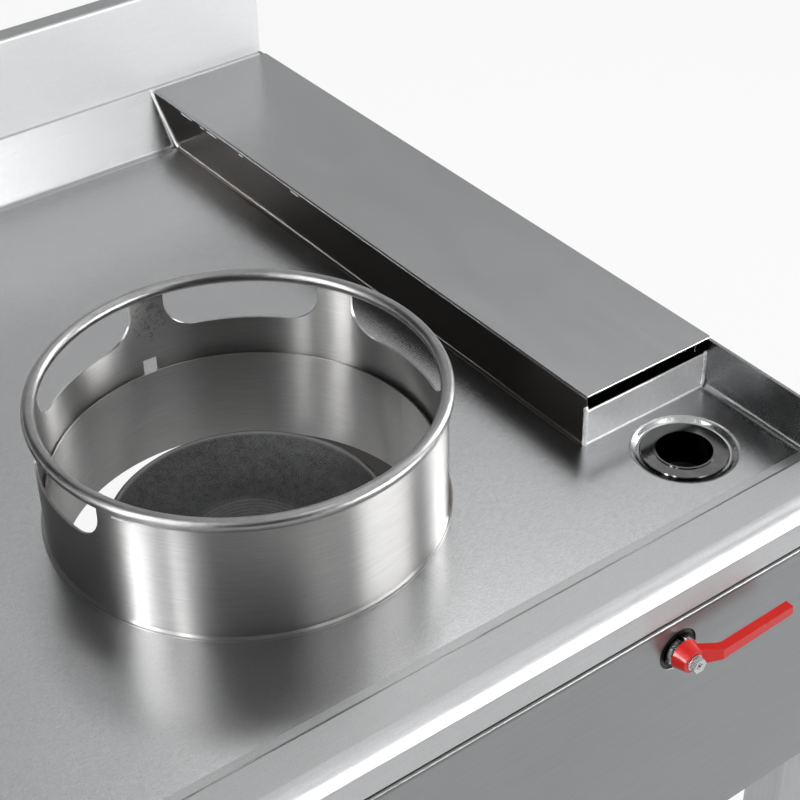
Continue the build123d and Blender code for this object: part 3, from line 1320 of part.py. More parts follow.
with BuildPart() as front_panel:
    with BuildSketch(Plane.YZ.offset(-side_inner)):
        with BuildLine():
            FilletPolyline(
                (panel_y + RETURN_FLANGE, apron_z - DECK_SHEET),
                (panel_y, apron_z - DECK_SHEET),
                (panel_y, base_z),
                radius=PANEL_BEND,
            )
            offset(amount=PANEL_SHEET, side=Side.LEFT)
        make_face()
    extrude(amount=2 * side_inner)
    with BuildSketch(facing_front(panel_y + PANEL_SHEET)):
        with Locations((valve_x, valve_z)):
            Circle(PANEL_HOLE)
        with Locations((knob_x, knob_z)):
            Circle(SPINDLE_RADIUS + 2 * PANEL_SHEET)
        with Locations((igniter_x, knob_z)):
            Circle(IGNITER_BODY)
    extrude(amount=PANEL_SHEET, mode=Mode.SUBTRACT)
front_panel.part.label = "front_panel"
export_step(front_panel.part, "parts/front_panel.step")

screw_span = (back_y - panel_y - 2 * SCREW_INSET) / (SCREW_COUNT - 1)
head_depth = (SCREW_HEAD - SCREW_SHANK) / tan(radians(SCREW_CONE))


def screw_plane(side):
    """Outside face of a side panel at the height of its screws, facing out."""
    origin = (side * half_width, (panel_y + back_y) / 2, base_z + ANGLE_LEG / 2)
    return Plane(origin=origin, x_dir=(0, side, 0), z_dir=(side, 0, 0))


for name, side in (("left_side_panel", -1), ("right_side_panel", 1)):
    with BuildPart() as side_panel:
        with BuildSketch(Plane.YZ.offset(side * half_width - (PANEL_SHEET if side > 0 else 0))):
            with Locations((panel_y, base_z)):
                Rectangle(back_y - panel_y, apron_z - base_z, align=(Align.MIN, Align.MIN))
        extrude(amount=PANEL_SHEET)
        with Locations(screw_plane(side)):
            with GridLocations(screw_span, 1, SCREW_COUNT, 1):
                CounterSinkHole(
                    SCREW_SHANK + SCREW_CLEARANCE,
                    SCREW_HEAD + SCREW_CLEARANCE,
                    depth=SCREW_LENGTH,
                    counter_sink_angle=2 * SCREW_CONE,
                )
    side_panel.part.label = name
    export_step(side_panel.part, f"parts/{name}.step")

with BuildPart() as back_panel:
    with BuildSketch(facing_front(back_y)):
        with Locations((0, base_z)):
            Rectangle(2 * side_inner, apron_z - base_z, align=(Align.CENTER, Align.MIN))
    extrude(amount=PANEL_SHEET)
back_panel.part.label = "back_panel"
export_step(back_panel.part, "parts/back_panel.step")

# Countersunk screws that hold the side panels to the base frame, a row on each side.
with BuildPart() as side_panel_screws:
    for side in (-1, 1):
        with BuildSketch(screw_plane(side)):
            with GridLocations(screw_span, 1, SCREW_COUNT, 1):
                Circle(SCREW_SHANK)
        extrude(amount=-SCREW_LENGTH)
        with BuildSketch(screw_plane(side)):
            with GridLocations(screw_span, 1, SCREW_COUNT, 1):
                Circle(SCREW_HEAD)
        extrude(amount=-head_depth, taper=SCREW_CONE)
side_panel_screws.part.label = "side_panel_screws"
export_step(side_panel_screws.part, "parts/side_panel_screws.step")

# ============================================================================================
# Stand: angle frame, four square legs with screw feet, H-shaped brace
# ============================================================================================
frame_front = panel_y + PANEL_SHEET
frame_back = back_y - PANEL_SHEET
frame_mid = (frame_front + frame_back) / 2
frame_width = 2 * side_inner
frame_depth = frame_back - frame_front
leg_x = side_inner - LEG_SIZE / 2
leg_front_y = frame_front + LEG_SIZE / 2
leg_back_y = frame_back - LEG_SIZE / 2

with BuildPart() as base_frame:
    for reach, height in ((ANGLE_THICK, ANGLE_LEG), (ANGLE_LEG, ANGLE_THICK)):
        with BuildSketch(Plane.XY.offset(base_z)):
            with Locations((0, frame_mid)):
                Rectangle(frame_width, frame_depth)
                Rectangle(frame_width - 2 * reach, frame_depth - 2 * reach, mode=Mode.SUBTRACT)
        extrude(amount=height)
    for side in (-1, 1):
        with Locations(screw_plane(side)):
            with GridLocations(screw_span, 1, SCREW_COUNT, 1):
                CounterSinkHole(
                    SCREW_SHANK + SCREW_CLEARANCE,
                    SCREW_HEAD + SCREW_CLEARANCE,
                    depth=SCREW_LENGTH,
                    counter_sink_angle=2 * SCREW_CONE,
                )
base_frame.part.label = "base_frame"
export_step(base_frame.part, "parts/base_frame.step")

for name, sx, leg_y in (
    ("front_left", -1, leg_front_y),
    ("front_right", 1, leg_front_y),
    ("back_left", -1, leg_back_y),
    ("back_right", 1, leg_back_y),
):
    with BuildPart() as leg:
        with BuildSketch(Plane.XY.offset(LEG_BOTTOM)):
            with Locations((sx * leg_x, leg_y)):
                RectangleRounded(LEG_SIZE, LEG_SIZE, LEG_ROUND)
        extrude(amount=base_z - LEG_BOTTOM)
        with BuildSketch(Plane.XY.offset(LEG_BOTTOM + LEG_PLUG)):
            with Locations((sx * leg_x, leg_y)):
                RectangleRounded(LEG_SIZE - 2 * LEG_WALL, LEG_SIZE - 2 * LEG_WALL, LEG_ROUND - LEG_WALL)
        extrude(amount=base_z - LEG_BOTTOM - LEG_PLUG, mode=Mode.SUBTRACT)
        with BuildSketch(Plane.XY.offset(LEG_BOTTOM)):
            with Locations((sx * leg_x, leg_y)):
                Circle(FOOT_STEM + FOOT_CLEARANCE)
        extrude(amount=LEG_PLUG, mode=Mode.SUBTRACT)
    leg.part.label = f"leg_{name}"
    export_step(leg.part, f"parts/leg_{name}.step")

    with BuildPart() as foot:
        with BuildSketch(Plane.XY):
            with Locations((sx * leg_x, leg_y)):
                Circle(FOOT_PAD)
        extrude(amount=FOOT_PAD_THICK, taper=FOOT_PAD_TAPER)
        with BuildSketch(Plane.XY.offset(FOOT_PAD_THICK)):
            with Locations((sx * leg_x, leg_y)):
                Circle(FOOT_STEM)
        extrude(amount=FOOT_STEM_LENGTH)
    foot.part.label = f"foot_{name}"
    export_step(foot.part, f"parts/foot_{name}.step")

with BuildPart() as leg_brace:
    for sx in (-1, 1):
        with BuildSketch(facing_front(leg_back_y - LEG_SIZE / 2)):
            with Locations((sx * leg_x, BRACE_HEIGHT)):
                Rectangle(BRACE_SIZE, BRACE_SIZE)
                Rectangle(BRACE_SIZE - 2 * LEG_WALL, BRACE_SIZE - 2 * LEG_WALL, mode=Mode.SUBTRACT)
        extrude(amount=leg_back_y - leg_front_y - LEG_SIZE)
    with BuildSketch(Plane.YZ.offset(-leg_x + BRACE_SIZE / 2)):
        with Locations((back_y - BRACE_FROM_BACK, BRACE_HEIGHT)):
            Rectangle(BRACE_SIZE, BRACE_SIZE)
            Rectangle(BRACE_SIZE - 2 * LEG_WALL, BRACE_SIZE - 2 * LEG_WALL, mode=Mode.SUBTRACT)
    extrude(amount=2 * leg_x - BRACE_SIZE)
leg_brace.part.label = "leg_brace"
export_step(leg_brace.part, "parts/leg_brace.step")
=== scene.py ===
"""Looks of the wok range: its steel, cast iron, welds, red lever and small fittings.

Lengths are metres in the frame of the solids: X to the right, Y to the back, Z up from the floor.
"""

import math

import bmesh
import bpy
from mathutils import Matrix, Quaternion, Vector


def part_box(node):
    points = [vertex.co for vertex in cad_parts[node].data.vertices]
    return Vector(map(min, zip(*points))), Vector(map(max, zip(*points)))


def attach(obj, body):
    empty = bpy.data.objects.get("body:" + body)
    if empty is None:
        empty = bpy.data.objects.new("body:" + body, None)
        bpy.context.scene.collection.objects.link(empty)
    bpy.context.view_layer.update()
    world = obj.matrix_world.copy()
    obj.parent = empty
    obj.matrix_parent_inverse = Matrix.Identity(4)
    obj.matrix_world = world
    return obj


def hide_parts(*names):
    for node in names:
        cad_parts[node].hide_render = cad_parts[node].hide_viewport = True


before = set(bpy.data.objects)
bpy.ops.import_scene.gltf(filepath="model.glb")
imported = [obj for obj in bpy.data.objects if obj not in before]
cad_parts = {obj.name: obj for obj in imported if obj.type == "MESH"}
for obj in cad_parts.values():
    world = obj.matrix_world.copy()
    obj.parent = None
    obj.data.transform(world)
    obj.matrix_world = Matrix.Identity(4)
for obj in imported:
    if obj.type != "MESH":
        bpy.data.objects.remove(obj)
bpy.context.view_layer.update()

# ---- Camera ---------------------------------------------------------------------------------
# Stands at the front left, above the well, and looks down across the ring to the drain.  Its
# lens is long, so the edges of the well run nearly parallel.
eye = Vector((-0.5805, -1.1487, 1.8086))
looked_at = Vector((0.1777, -0.1156, 0.8500))
horizon_tilt = math.radians(-1.02)

camera = bpy.data.objects.new("camera", bpy.data.cameras.new("camera"))
bpy.context.scene.collection.objects.link(camera)
camera.location = eye
camera.rotation_mode = "QUATERNION"
camera.rotation_quaternion = (
    (looked_at - eye).to_track_quat("-Z", "Y") @ Quaternion((0, 0, 1), horizon_tilt)
)
camera.data.lens = 83.6
camera.data.sensor_width = 36.0
camera.data.shift_x = -0.0024
camera.data.shift_y = -0.0004
camera.data.clip_start = 0.01
bpy.context.scene.camera = camera
bpy.context.scene.view_settings.view_transform = "Standard"


# ---- Studio floor, sky and lamps -------------------------------------------------------------
# A pale floor that runs out of sight and a pale sky.  In the sky hang dark and bright cards,
# which only polished faces show; soft boxes over the front and both sides light the rest.
class Wire:
    """A value on its way through a finish; sums and products of it add their own nodes."""

    def __init__(self, finish, socket):
        self.finish = finish
        self.socket = socket

    def _maths(self, operation, first, second):
        return self.finish.node("ShaderNodeMath", {"operation": operation}, {0: first, 1: second})

    def __add__(self, other):
        return self._maths("ADD", self, other)

    def __radd__(self, other):
        return self._maths("ADD", other, self)

    def __sub__(self, other):
        return self._maths("SUBTRACT", self, other)

    def __rsub__(self, other):
        return self._maths("SUBTRACT", other, self)

    def __mul__(self, other):
        return self._maths("MULTIPLY", self, other)

    def smooth(self, low, high):
        """0 below low, 1 above high and an even turn between them."""
        return self.finish.node(
            "ShaderNodeMapRange",
            {"interpolation_type": "SMOOTHSTEP"},
            {"Value": self, "From Min": low, "From Max": high},
        )

    def between(self, low, high, soft):
        """1 from low to high and 0 outside, with a soft turn at both."""
        return self.smooth(low - soft, low + soft) * (1.0 - self.smooth(high - soft, high + soft))

    def wave(self):
        return self.finish.node("ShaderNodeMath", {"operation": "SINE"}, {0: self})

    def size(self):
        return self.finish.node("ShaderNodeMath", {"operation": "ABSOLUTE"}, {0: self})


class Finish:
    """A node tree that is written line by line: a material's, the sky's or a shape's."""

    def __init__(self, name=None, tree=None):
        if tree is None:
            self.material = bpy.data.materials.new(name)
            self.material.use_nodes = True
            tree = self.material.node_tree
        self.tree = tree
        tree.nodes.clear()

    def node(self, kind, settings=None, values=None, out=0):
        """Adds a node, sets it up, feeds its inputs and gives back one of its outputs."""
        made = self.tree.nodes.new(kind)
        for key, value in (settings or {}).items():
            setattr(made, key, value)
        for key, value in (values or {}).items():
            socket = made.inputs[key]
            if isinstance(value, Wire):
                self.tree.links.new(value.socket, socket)
            else:
                socket.default_value = value
        return Wire(self, made.outputs[out]) if made.outputs else None

    def show(self, surface, output="ShaderNodeOutputMaterial"):
        self.node(output, None, {"Surface": surface})

    def mix_shaders(self, amount, first, second):
        return self.node("ShaderNodeMixShader", None, {0: amount, 1: first, 2: second})

    def rays(self, *kinds):
        """1 for a ray of one of these kinds and 0 for every other ray."""
        total = 0.0
        for kind in kinds:
            total = total + self.node("ShaderNodeLightPath", out="Is %s Ray" % kind)
        return total.smooth(0.0, 1.0)

    def blend(self, amount, first, second):
        """Colour that goes from first to second as amount goes from 0 to 1."""
        return self.node(
            "ShaderNodeMix",
            {"data_type": "RGBA"},
            {0: amount, 6: first, 7: second},
            out=2,
        )

    def part_of(self, vector, axis):
        return self.node("ShaderNodeSeparateXYZ", None, {0: vector}, out=axis)

    def along(self, axis):
        """Where a point of the piece is along X, Y or Z, which are 0, 1 and 2, in metres."""
        return self.part_of(self.node("ShaderNodeTexCoord", out="Object"), axis)

    def stretched(self, scale, centre):
        """The place of a point, moved so that centre is zero, then scaled along each axis."""
        moved = tuple(-c * s for c, s in zip(centre, scale))
        place = self.node("ShaderNodeTexCoord", out="Object")
        return self.node(
            "ShaderNodeMapping", None, {"Vector": place, "Location": moved, "Scale": scale}
        )

    def away(self, centre, scale=(1.0, 1.0, 1.0)):
        """How far a point is from centre; an axis with scale 0 is left out."""
        return self.node(
            "ShaderNodeVectorMath",
            {"operation": "LENGTH"},
            {0: self.stretched(scale, centre)},
            out="Value",
        )

    def noise(self, scale, detail, rough, stretch=(1.0, 1.0, 1.0), centre=(0.0, 0.0, 0.0), swirl=0.0):
        """Cloudy values from 0 to 1: scale clouds to the metre, times stretch along each axis."""
        return self.node(
            "ShaderNodeTexNoise",
            None,
            {"Vector": self.stretched(stretch, centre), "Scale": scale, "Detail": detail,
             "Roughness": rough, "Distortion": swirl},
            out="Fac",
        )

    def relief(self, height, strength, distance=0.0003):
        """The skin's slope where height stands up from it by distance."""
        return self.node(
            "ShaderNodeBump",
            None,
            {"Strength": strength, "Distance": distance, "Height": height},
        )


def grey(level, warmth=0.0):
    """A linear colour from a level seen on screen, 0 to 255; warmth tips it to yellow or blue."""
    tone = [((level + shift) / 255) ** 2.2 for shift in (warmth, 0.0, -warmth)]
    return (*tone, 1.0)


floor_level = 253
paint_level = 245
floor_half = 40.0
own_light_share = 0.90

floor_mesh = bpy.data.meshes.new("floor")
floor_mesh.from_pydata(
    [(-floor_half, -floor_half, 0), (floor_half, -floor_half, 0),
     (floor_half, floor_half, 0), (-floor_half, floor_half, 0)],
    [], [(0, 1, 2, 3)],
)
floor = bpy.data.objects.new("floor", floor_mesh)
bpy.context.scene.collection.objects.link(floor)

paving = Finish("pale_floor")
paint = paving.node(
    "ShaderNodeBsdfDiffuse", None, {"Color": grey(paint_level), "Roughness": 0.4}
)
own_light = paving.node(
    "ShaderNodeEmission", None, {"Color": grey(floor_level), "Strength": 1.0}
)
shown = paving.rays("Camera", "Glossy", "Transmission") * own_light_share
paving.show(paving.mix_shaders(shown, paint, own_light))
floor.data.materials.append(paving.material)

world = bpy.data.worlds.new("studio")
bpy.context.scene.world = world
world.use_nodes = True
sky = Finish(tree=world.node_tree)
towards = sky.node("ShaderNodeTexCoord", out="Generated")
up = sky.part_of(towards, 2)
right = sky.part_of(towards, 0)
front = 0.0 - sky.part_of(towards, 1)
# Degrees round the range from its front, positive to the right.
bearing = sky.node("ShaderNodeMath", {"operation": "ARCTAN2"}, {0: right, 1: front})
bearing = bearing * math.degrees(1.0)
dome = sky.blend(up.smooth(0.12, 0.46), grey(244), grey(190))
dome = sky.blend(up.smooth(0.46, 0.74), dome, grey(216))
cards = (
    # from, to bearing, from, to height (1 is straight up), softness in degrees, screen level
    (-178.0, -110.0, 0.14, 0.88, 12.0, 60),     # dark wall at the back left
    (-112.0, -52.0, -0.15, 0.80, 3.0, 70),      # dim room at the left
    (-92.5, -87.5, -0.15, 0.86, 1.0, 1250),     # first tall strip at the left
    (-69.5, -66.5, -0.15, 0.86, 1.0, 1000),     # second tall strip at the left
    (-60.0, 12.0, -0.10, 0.80, 5.0, 24),        # dark room in front of the range
    (24.0, 55.0, -0.10, 0.13, 5.0, 1330),       # wide box low at the front right
    (2.0, 27.0, 0.68, 0.90, 4.0, 500),          # box high over the front
    (112.0, 149.0, 0.71, 0.86, 3.0, 390),       # box high over the back right
    (48.0, 104.0, 0.78, 0.94, 10.0, 320),       # box over the right side
    (66.0, 80.0, -0.10, 0.62, 3.0, 30),         # dark post between two windows at the right
    (84.0, 92.0, -0.10, 0.62, 2.0, 1100),       # window at the right
)
soft_height = 0.06
for first, last, low, high, soft, level in cards:
    card = bearing.between(first, last, soft) * up.between(low, high, soft_height)
    dome = sky.blend(card, dome, grey(level))
studio_light = sky.node("ShaderNodeBackground", None, {"Color": grey(232), "Strength": 0.55})
dome_light = sky.node("ShaderNodeBackground", None, {"Color": dome, "Strength": 1.0})
backdrop = sky.node("ShaderNodeBackground", None, {"Color": grey(248), "Strength": 1.0})
lit = sky.mix_shaders(sky.rays("Glossy", "Transmission"), studio_light, dome_light)
sky.show(sky.mix_shaders(sky.rays("Camera"), lit, backdrop), output="ShaderNodeOutputWorld")

soft_boxes = (
    # name, middle, aimed at, width, height, watts
    ("front_box", (0.05, -1.75, 2.60), (0.0, 0.1, 0.85), 1.10, 0.80, 38.0),
    ("left_box", (-2.10, -0.30, 2.30), (0.0, 0.0, 0.85), 0.50, 1.60, 10.0),
    ("right_box", (2.30, 0.60, 2.20), (0.0, 0.0, 0.85), 0.90, 1.20, 12.0),
)
for name, middle, aimed_at, width, height, watts in soft_boxes:
    lamp = bpy.data.lights.new(name, "AREA")
    lamp.shape = "RECTANGLE"
    lamp.size = width
    lamp.size_y = height
    lamp.energy = watts
    box = bpy.data.objects.new(name, lamp)
    bpy.context.scene.collection.objects.link(box)
    box.visible_glossy = False
    box.location = middle
    box.rotation_mode = "QUATERNION"
    box.rotation_quaternion = (Vector(aimed_at) - Vector(middle)).to_track_quat("-Z", "Y")


# ---- Well: floor, rim, side walls, back wall -------------------------------------------------
# Stainless sheet with a satin face, folded and welded at the corners.  Each face is rubbed in
# its own direction, and every cut edge and fold is dressed round with a file or a flap disc.
deck_low, deck_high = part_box("deck_plate")
deck_height = deck_high[2]
fine_grain = 1150.0                     # grains to the metre
same_point = 1e-6
flat_within = math.radians(0.5)
edge_from = math.radians(40.0)


def dress(names, finish):
    """Gives the solids their finish, in every slot they have."""
    for name in names:
        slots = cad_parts[name].material_slots
        if slots:
            for slot in slots:
                slot.material = finish
        else:
            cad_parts[name].data.materials.append(finish)


def skin(finish, colour, roughness, bump, more=None):
    """Closes a finish: colour, roughness and bump vary over the piece, more sets the rest."""
    values = {"Base Color": colour, "Roughness": roughness, "Normal": bump}
    values.update(more or {})
    finish.show(finish.node("ShaderNodeBsdfPrincipled", None, values))
    return finish.material


def metal(finish, colour, roughness, bump, metallic=1.0):
    return skin(finish, colour, roughness, bump, {"Metallic": metallic})


def satin_steel(name, dark, light, streaks, roughness, metallic=1.0):
    """Satin sheet: fine grain, faint rubbing along the streaks and cloudy handling marks."""
    satin = Finish(name)
    grain = satin.noise(fine_grain, 3.0, 0.8)
    rubbing = satin.noise(9.0, 4.0, 0.6, stretch=streaks)
    cloud = satin.noise(6.5, 4.0, 0.55, swirl=0.6)
    tone = (grain - 0.5) * 1.5 + (rubbing - 0.5) * 0.5 + (cloud - 0.5) * 0.25 + 0.5
    return metal(
        satin,
        satin.blend(tone, grey(dark, -1.0), grey(light, -1.0)),
        (grain - 0.5) * 0.08 + (cloud - 0.5) * 0.10 + roughness,
        satin.relief(grain + rubbing * 0.5, 0.10, 0.0004),
        metallic,
    )


def shaped(piece, modifier):
    """Makes what a modifier does to a piece its plain mesh, and takes the modifier off."""
    bpy.context.view_layer.update()
    evaluated = piece.evaluated_get(bpy.context.evaluated_depsgraph_get())
    mesh = bpy.data.meshes.new_from_object(evaluated)
    piece.modifiers.remove(modifier)
    piece.data = mesh


def new_piece(name, mesh):
    piece = bpy.data.objects.new(name, mesh)
    bpy.context.scene.collection.objects.link(piece)
    return piece


def eased(name, round_off, body="range_body", steps=2):
    """Puts a copy with rounded edges in the place of a solid that has its finish."""
    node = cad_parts[name]
    solid = bmesh.new()
    solid.from_mesh(node.data)
    bmesh.ops.remove_doubles(solid, verts=solid.verts, dist=same_point)
    bmesh.ops.dissolve_limit(
        solid, angle_limit=flat_within, verts=solid.verts, edges=solid.edges
    )
    mesh = bpy.data.meshes.new(name + "_eased")
    solid.to_mesh(mesh)
    solid.free()
    mesh.materials.append(node.material_slots[0].material)
    piece = new_piece(name + "_eased", mesh)
    rounding = piece.modifiers.new("edges", "BEVEL")
    rounding.width = round_off
    rounding.segments = steps
    rounding.limit_method = "ANGLE"
    rounding.angle_limit = edge_from
    shaped(piece, rounding)
    piece.data.shade_flat()
    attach(piece, body)
    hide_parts(name)


sheet_edge = 0.0007
dress(("deck_plate",), satin_steel("satin_floor", 168, 202, (14.0, 60.0, 60.0), 0.24))
dress(("front_rim",), satin_steel("brushed_rim", 160, 196, (4.0, 160.0, 160.0), 0.42))
dress(("back_wall",), satin_steel("satin_back_wall", 184, 214, (8.0, 8.0, 90.0), 0.24))
# The side walls take darker greys than the floor: painted shade.
dress(
    ("left_upstand", "right_upstand"),
    satin_steel("satin_side_walls", 132, 160, (16.0, 16.0, 30.0), 0.28),
)
for wall in ("left_upstand", "right_upstand", "back_wall"):
    eased(wall, sheet_edge)

# ---- Splashback ------------------------------------------------------------------------------
# A folded steel box behind the back wall, which stands up against splashes.  Its front is
# painted near white and mostly unmetallic, a painted sheen; its back is plain steel.
splashback_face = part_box("splashback")[0][1] + 0.00045
pale = Finish("satin_splashback")
pale_grain = pale.noise(fine_grain, 3.0, 0.8)
pale_streaks = pale.noise(9.0, 4.0, 0.6, stretch=(8.0, 8.0, 90.0))
pale_tone = (pale_grain - 0.5) * 1.2 + (pale_streaks - 0.5) * 0.6 + 0.5
# 1 on the back and 0 on the front, which is painted near white: a painted sheen.
behind = pale.along(1).smooth(splashback_face, splashback_face + 0.0008)
dress(
    ("splashback",),
    metal(
        pale,
        pale.blend(
            behind,
            pale.blend(pale_tone, grey(232, -1.0), grey(248, -1.0)),
            pale.blend(pale_tone, grey(150, -1.0), grey(184, -1.0)),
        ),
        (pale_grain - 0.5) * 0.08 + 0.34,
        pale.relief(pale_grain, 0.10, 0.0004),
        metallic=behind * 0.85 + 0.15,
    ),
)
eased("splashback", sheet_edge)

# ---- Overflow channel ------------------------------------------------------------------------
# A folded hood over the channel at the right of the well, with walls painted darker and warmer
# than its top as painted shade, and a plate that closes its front but for a slot, over which the
# water runs.
hood_low, hood_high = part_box("channel_hood")
hood_height = hood_high[2]
hood = Finish("channel_hood_steel")
hood_grain = hood.noise(fine_grain, 3.0, 0.8)
hood_cloud = hood.noise(7.0, 4.0, 0.55, stretch=(3.0, 1.0, 1.0), swirl=0.6)
# 1 on the top and 0 down the walls, which get darker, warmer greys: painted shade.
hood_top_vs_shaded_walls = hood.along(2).smooth(hood_height - 0.0035, hood_height - 0.0010)
hood_tone = (hood_grain - 0.5) * 1.5 + (hood_cloud - 0.5) * 0.4 + 0.5
dress(
    ("channel_hood",),
    metal(
        hood,
        hood.blend(
            hood_tone,
            hood.blend(hood_top_vs_shaded_walls, grey(92, 4.0), grey(156, -1.0)),
            hood.blend(hood_top_vs_shaded_walls, grey(122, 4.0), grey(184, -1.0)),
        ),
        hood_top_vs_shaded_walls * 0.10 + (hood_cloud - 0.5) * 0.06 + 0.16,
        hood.relief(hood_grain, 0.08, 0.0004),
    ),
)
dress(
    ("channel_end_plate",),
    satin_steel("satin_end_plate", 204, 248, (26.0, 26.0, 26.0), 0.36, metallic=0.6),
)
eased("channel_hood", 0.0004)
eased("channel_end_plate", sheet_edge)

# ---- Bent foot of the channel and the side walls ---------------------------------------------
# The floor is turned up into the channel wall and the side walls with a small round bend, which
# shows as a line of light along their feet.
bend_steps = 6
sharp_from = math.radians(38.0)
buried = 0.0003
back_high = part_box("back_wall")[1]
channel_wall, side_wall = hood_low[0] + 0.0001, back_high[0] + 0.0002
channel_front, well_front = hood_low[1] + 0.00025, deck_low[1] + 0.00025
well_back = deck_high[1] + 0.00425
bends = (
    # name, x of the wall, which way the floor lies, radius, from y, to y, sheet it belongs to
    ("channel_foot_bend", channel_wall, -1, 0.0042, channel_front, well_back, "channel_hood"),
    ("right_wall_foot_bend", side_wall, -1, 0.0050, well_front, well_back, "deck_plate"),
    ("left_wall_foot_bend", -side_wall, 1, 0.0050, well_front, well_back, "deck_plate"),
)


def sewn(name, shape):
    """A mesh of a loose shape, with its doubles merged and its faces turned outwards."""
    bmesh.ops.remove_doubles(shape, verts=shape.verts, dist=same_point)
    bmesh.ops.recalc_face_normals(shape, faces=shape.faces)
    mesh = bpy.data.meshes.new(name)
    shape.to_mesh(mesh)
    shape.free()
    return mesh


for name, wall_x, to_floor, radius, front_y, back_y, sheet in bends:
    hidden_x = wall_x - to_floor * buried
    outline = [(hidden_x, deck_height - buried), (hidden_x, deck_height + radius)]
    for step in range(bend_steps + 1):
        angle = math.radians(90.0 * step / bend_steps)
        outline.append(
            (
                wall_x + to_floor * radius * (1.0 - math.cos(angle)),
                deck_height + radius * (1.0 - math.sin(angle)),
            )
        )
    outline.append((wall_x + to_floor * radius, deck_height - buried))
    strip = bmesh.new()
    ends = [[strip.verts.new((x, y, z)) for x, z in outline] for y in (front_y, back_y)]
    count = len(outline)
    for i in range(count):
        j = (i + 1) % count
        strip.faces.new((ends[0][i], ends[0][j], ends[1][j], ends[1][i]))
    for end in ends:
        strip.faces.new(end)
    mesh = sewn(name, strip)
    mesh.shade_smooth()
    mesh.set_sharp_from_angle(angle=sharp_from)
    mesh.materials.append(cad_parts[sheet].material_slots[0].material)
    bend = new_piece(name, mesh)
    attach(bend, "range_body")

# ---- Welds of the well -----------------------------------------------------------------------
# The corners of the well and the channel are closed with runs of small overlapping beads of
# weld, brushed bright afterwards, and the hood's edge is tacked to the wall under it.
weld = Finish("brushed_weld")
spatter = weld.noise(420.0, 3.0, 0.7)
weld_steel = metal(
    weld,
    weld.blend(spatter, grey(196), grey(250)),
    (spatter - 0.5) * 0.2 + 0.36,
    weld.relief(spatter, 0.3, 0.0004),
    metallic=0.6,
)


def shape_tree(name, inputs, output):
    """An empty tree for a shape, with these named inputs."""
    tree = bpy.data.node_groups.new(name, "GeometryNodeTree")
    for label, kind in inputs.items():
        tree.interface.new_socket(label, in_out="INPUT", socket_type=kind)
    tree.interface.new_socket(output, in_out="OUTPUT", socket_type="NodeSocketGeometry")
    return Finish(tree=tree)


def close_shape(shape, placed):
    """Ends a shape's tree: real meshes in the finish that is asked for."""
    placed = shape.node("GeometryNodeRealizeInstances", None, {0: placed})
    asked = shape.node("NodeGroupInput", out="Finish")
    placed = shape.node("GeometryNodeSetMaterial", None, {"Geometry": placed, "Material": asked})
    shape.node("NodeGroupOutput", None, {0: placed})


def grown(piece, shape, values):
    """Runs a shape's tree on a piece with these values for its inputs."""
    growing = piece.modifiers.new("shape", "NODES")
    growing.node_group = shape.tree
    for item in shape.tree.interface.items_tree:
        if item.in_out == "INPUT" and item.name in values:
            growing[item.identifier] = values[item.name]
    shaped(piece, growing)


beads = shape_tree(
    "weld_beads",
    {"Path": "NodeSocketGeometry", "Radius": "NodeSocketFloat", "Spacing": "NodeSocketFloat",
     "Finish": "NodeSocketMaterial"},
    "Beads",
)
path = beads.node("GeometryNodeMeshToCurve", None, {0: beads.node("NodeGroupInput", out="Path")})
places = beads.node(
    "GeometryNodeResampleCurve",
    {"mode": "LENGTH"},
    {"Curve": path, "Length": beads.node("NodeGroupInput", out="Spacing")},
)
drop = beads.node(
    "GeometryNodeMeshUVSphere",
    None,
    {"Segments": 8, "Rings": 6, "Radius": beads.node("NodeGroupInput", out="Radius")},
)
drop = beads.node("GeometryNodeSetShadeSmooth", None, {0: drop})
uneven = beads.node(
    "FunctionNodeRandomValue",
    {"data_type": "FLOAT_VECTOR"},
    {0: (0.78, 0.78, 0.78), 1: (1.18, 1.18, 1.18), "Seed": 11},
)
close_shape(
    beads,
    beads.node(
        "GeometryNodeInstanceOnPoints",
        None,
        {"Points": places, "Instance": drop, "Scale": uneven},
    ),
)


def welded(name, runs, radius, spacing, body="range_body"):
    """Lays beads of weld along runs, each a list of points."""
    points = [point for run in runs for point in run]
    edges, first = [], 0
    for run in runs:
        edges += [(first + step, first + step + 1) for step in range(len(run) - 1)]
        first += len(run)
    mesh = bpy.data.meshes.new(name)
    mesh.from_pydata(points, edges, [])
    piece = new_piece(name, mesh)
    grown(piece, beads, {"Radius": radius, "Spacing": spacing, "Finish": weld_steel})
    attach(piece, body)


plate_low, plate_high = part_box("channel_end_plate")
corner_x, corner_y = hood_low[0] + 0.0007, hood_low[1] + 0.00015
plate_foot_y, plate_foot_z = plate_low[1] - 0.00005, deck_height + 0.0002
plate_side_x, plate_side_y = plate_high[0] + 0.0025, plate_low[1] + 0.00095
back_corner_x = hood_low[0] - 0.0002
well_welds = (
    # name, points of the run, radius of a bead, from bead to bead
    ("channel_front_corner_weld",
     [(corner_x, corner_y, deck_height + 0.0012), (corner_x, corner_y, hood_height - 0.0122)],
     0.0021, 0.0010),
    ("end_plate_foot_weld",
     [(plate_low[0] - 0.0003, plate_foot_y, plate_foot_z),
      (plate_high[0] + 0.0005, plate_foot_y, plate_foot_z)],
     0.0013, 0.0009),
    ("end_plate_side_weld",
     [(plate_side_x - 0.0015, plate_side_y - 0.0004, deck_height + 0.0035),
      (plate_side_x, plate_side_y, deck_height + 0.0100),
      (plate_side_x, plate_side_y, plate_high[2] - 0.0007)],
     0.0022, 0.0014),
    ("back_corner_weld",
     [(back_corner_x, deck_high[1] + 0.00225, deck_height + 0.0010),
      (back_corner_x, deck_high[1] + 0.00775, deck_height + 0.0040),
      (back_corner_x, back_high[1] - 0.00525, back_high[2] - 0.0012)],
     0.0015, 0.0010),
)
for name, run, radius, spacing in well_welds:
    welded(name, [run], radius, spacing)

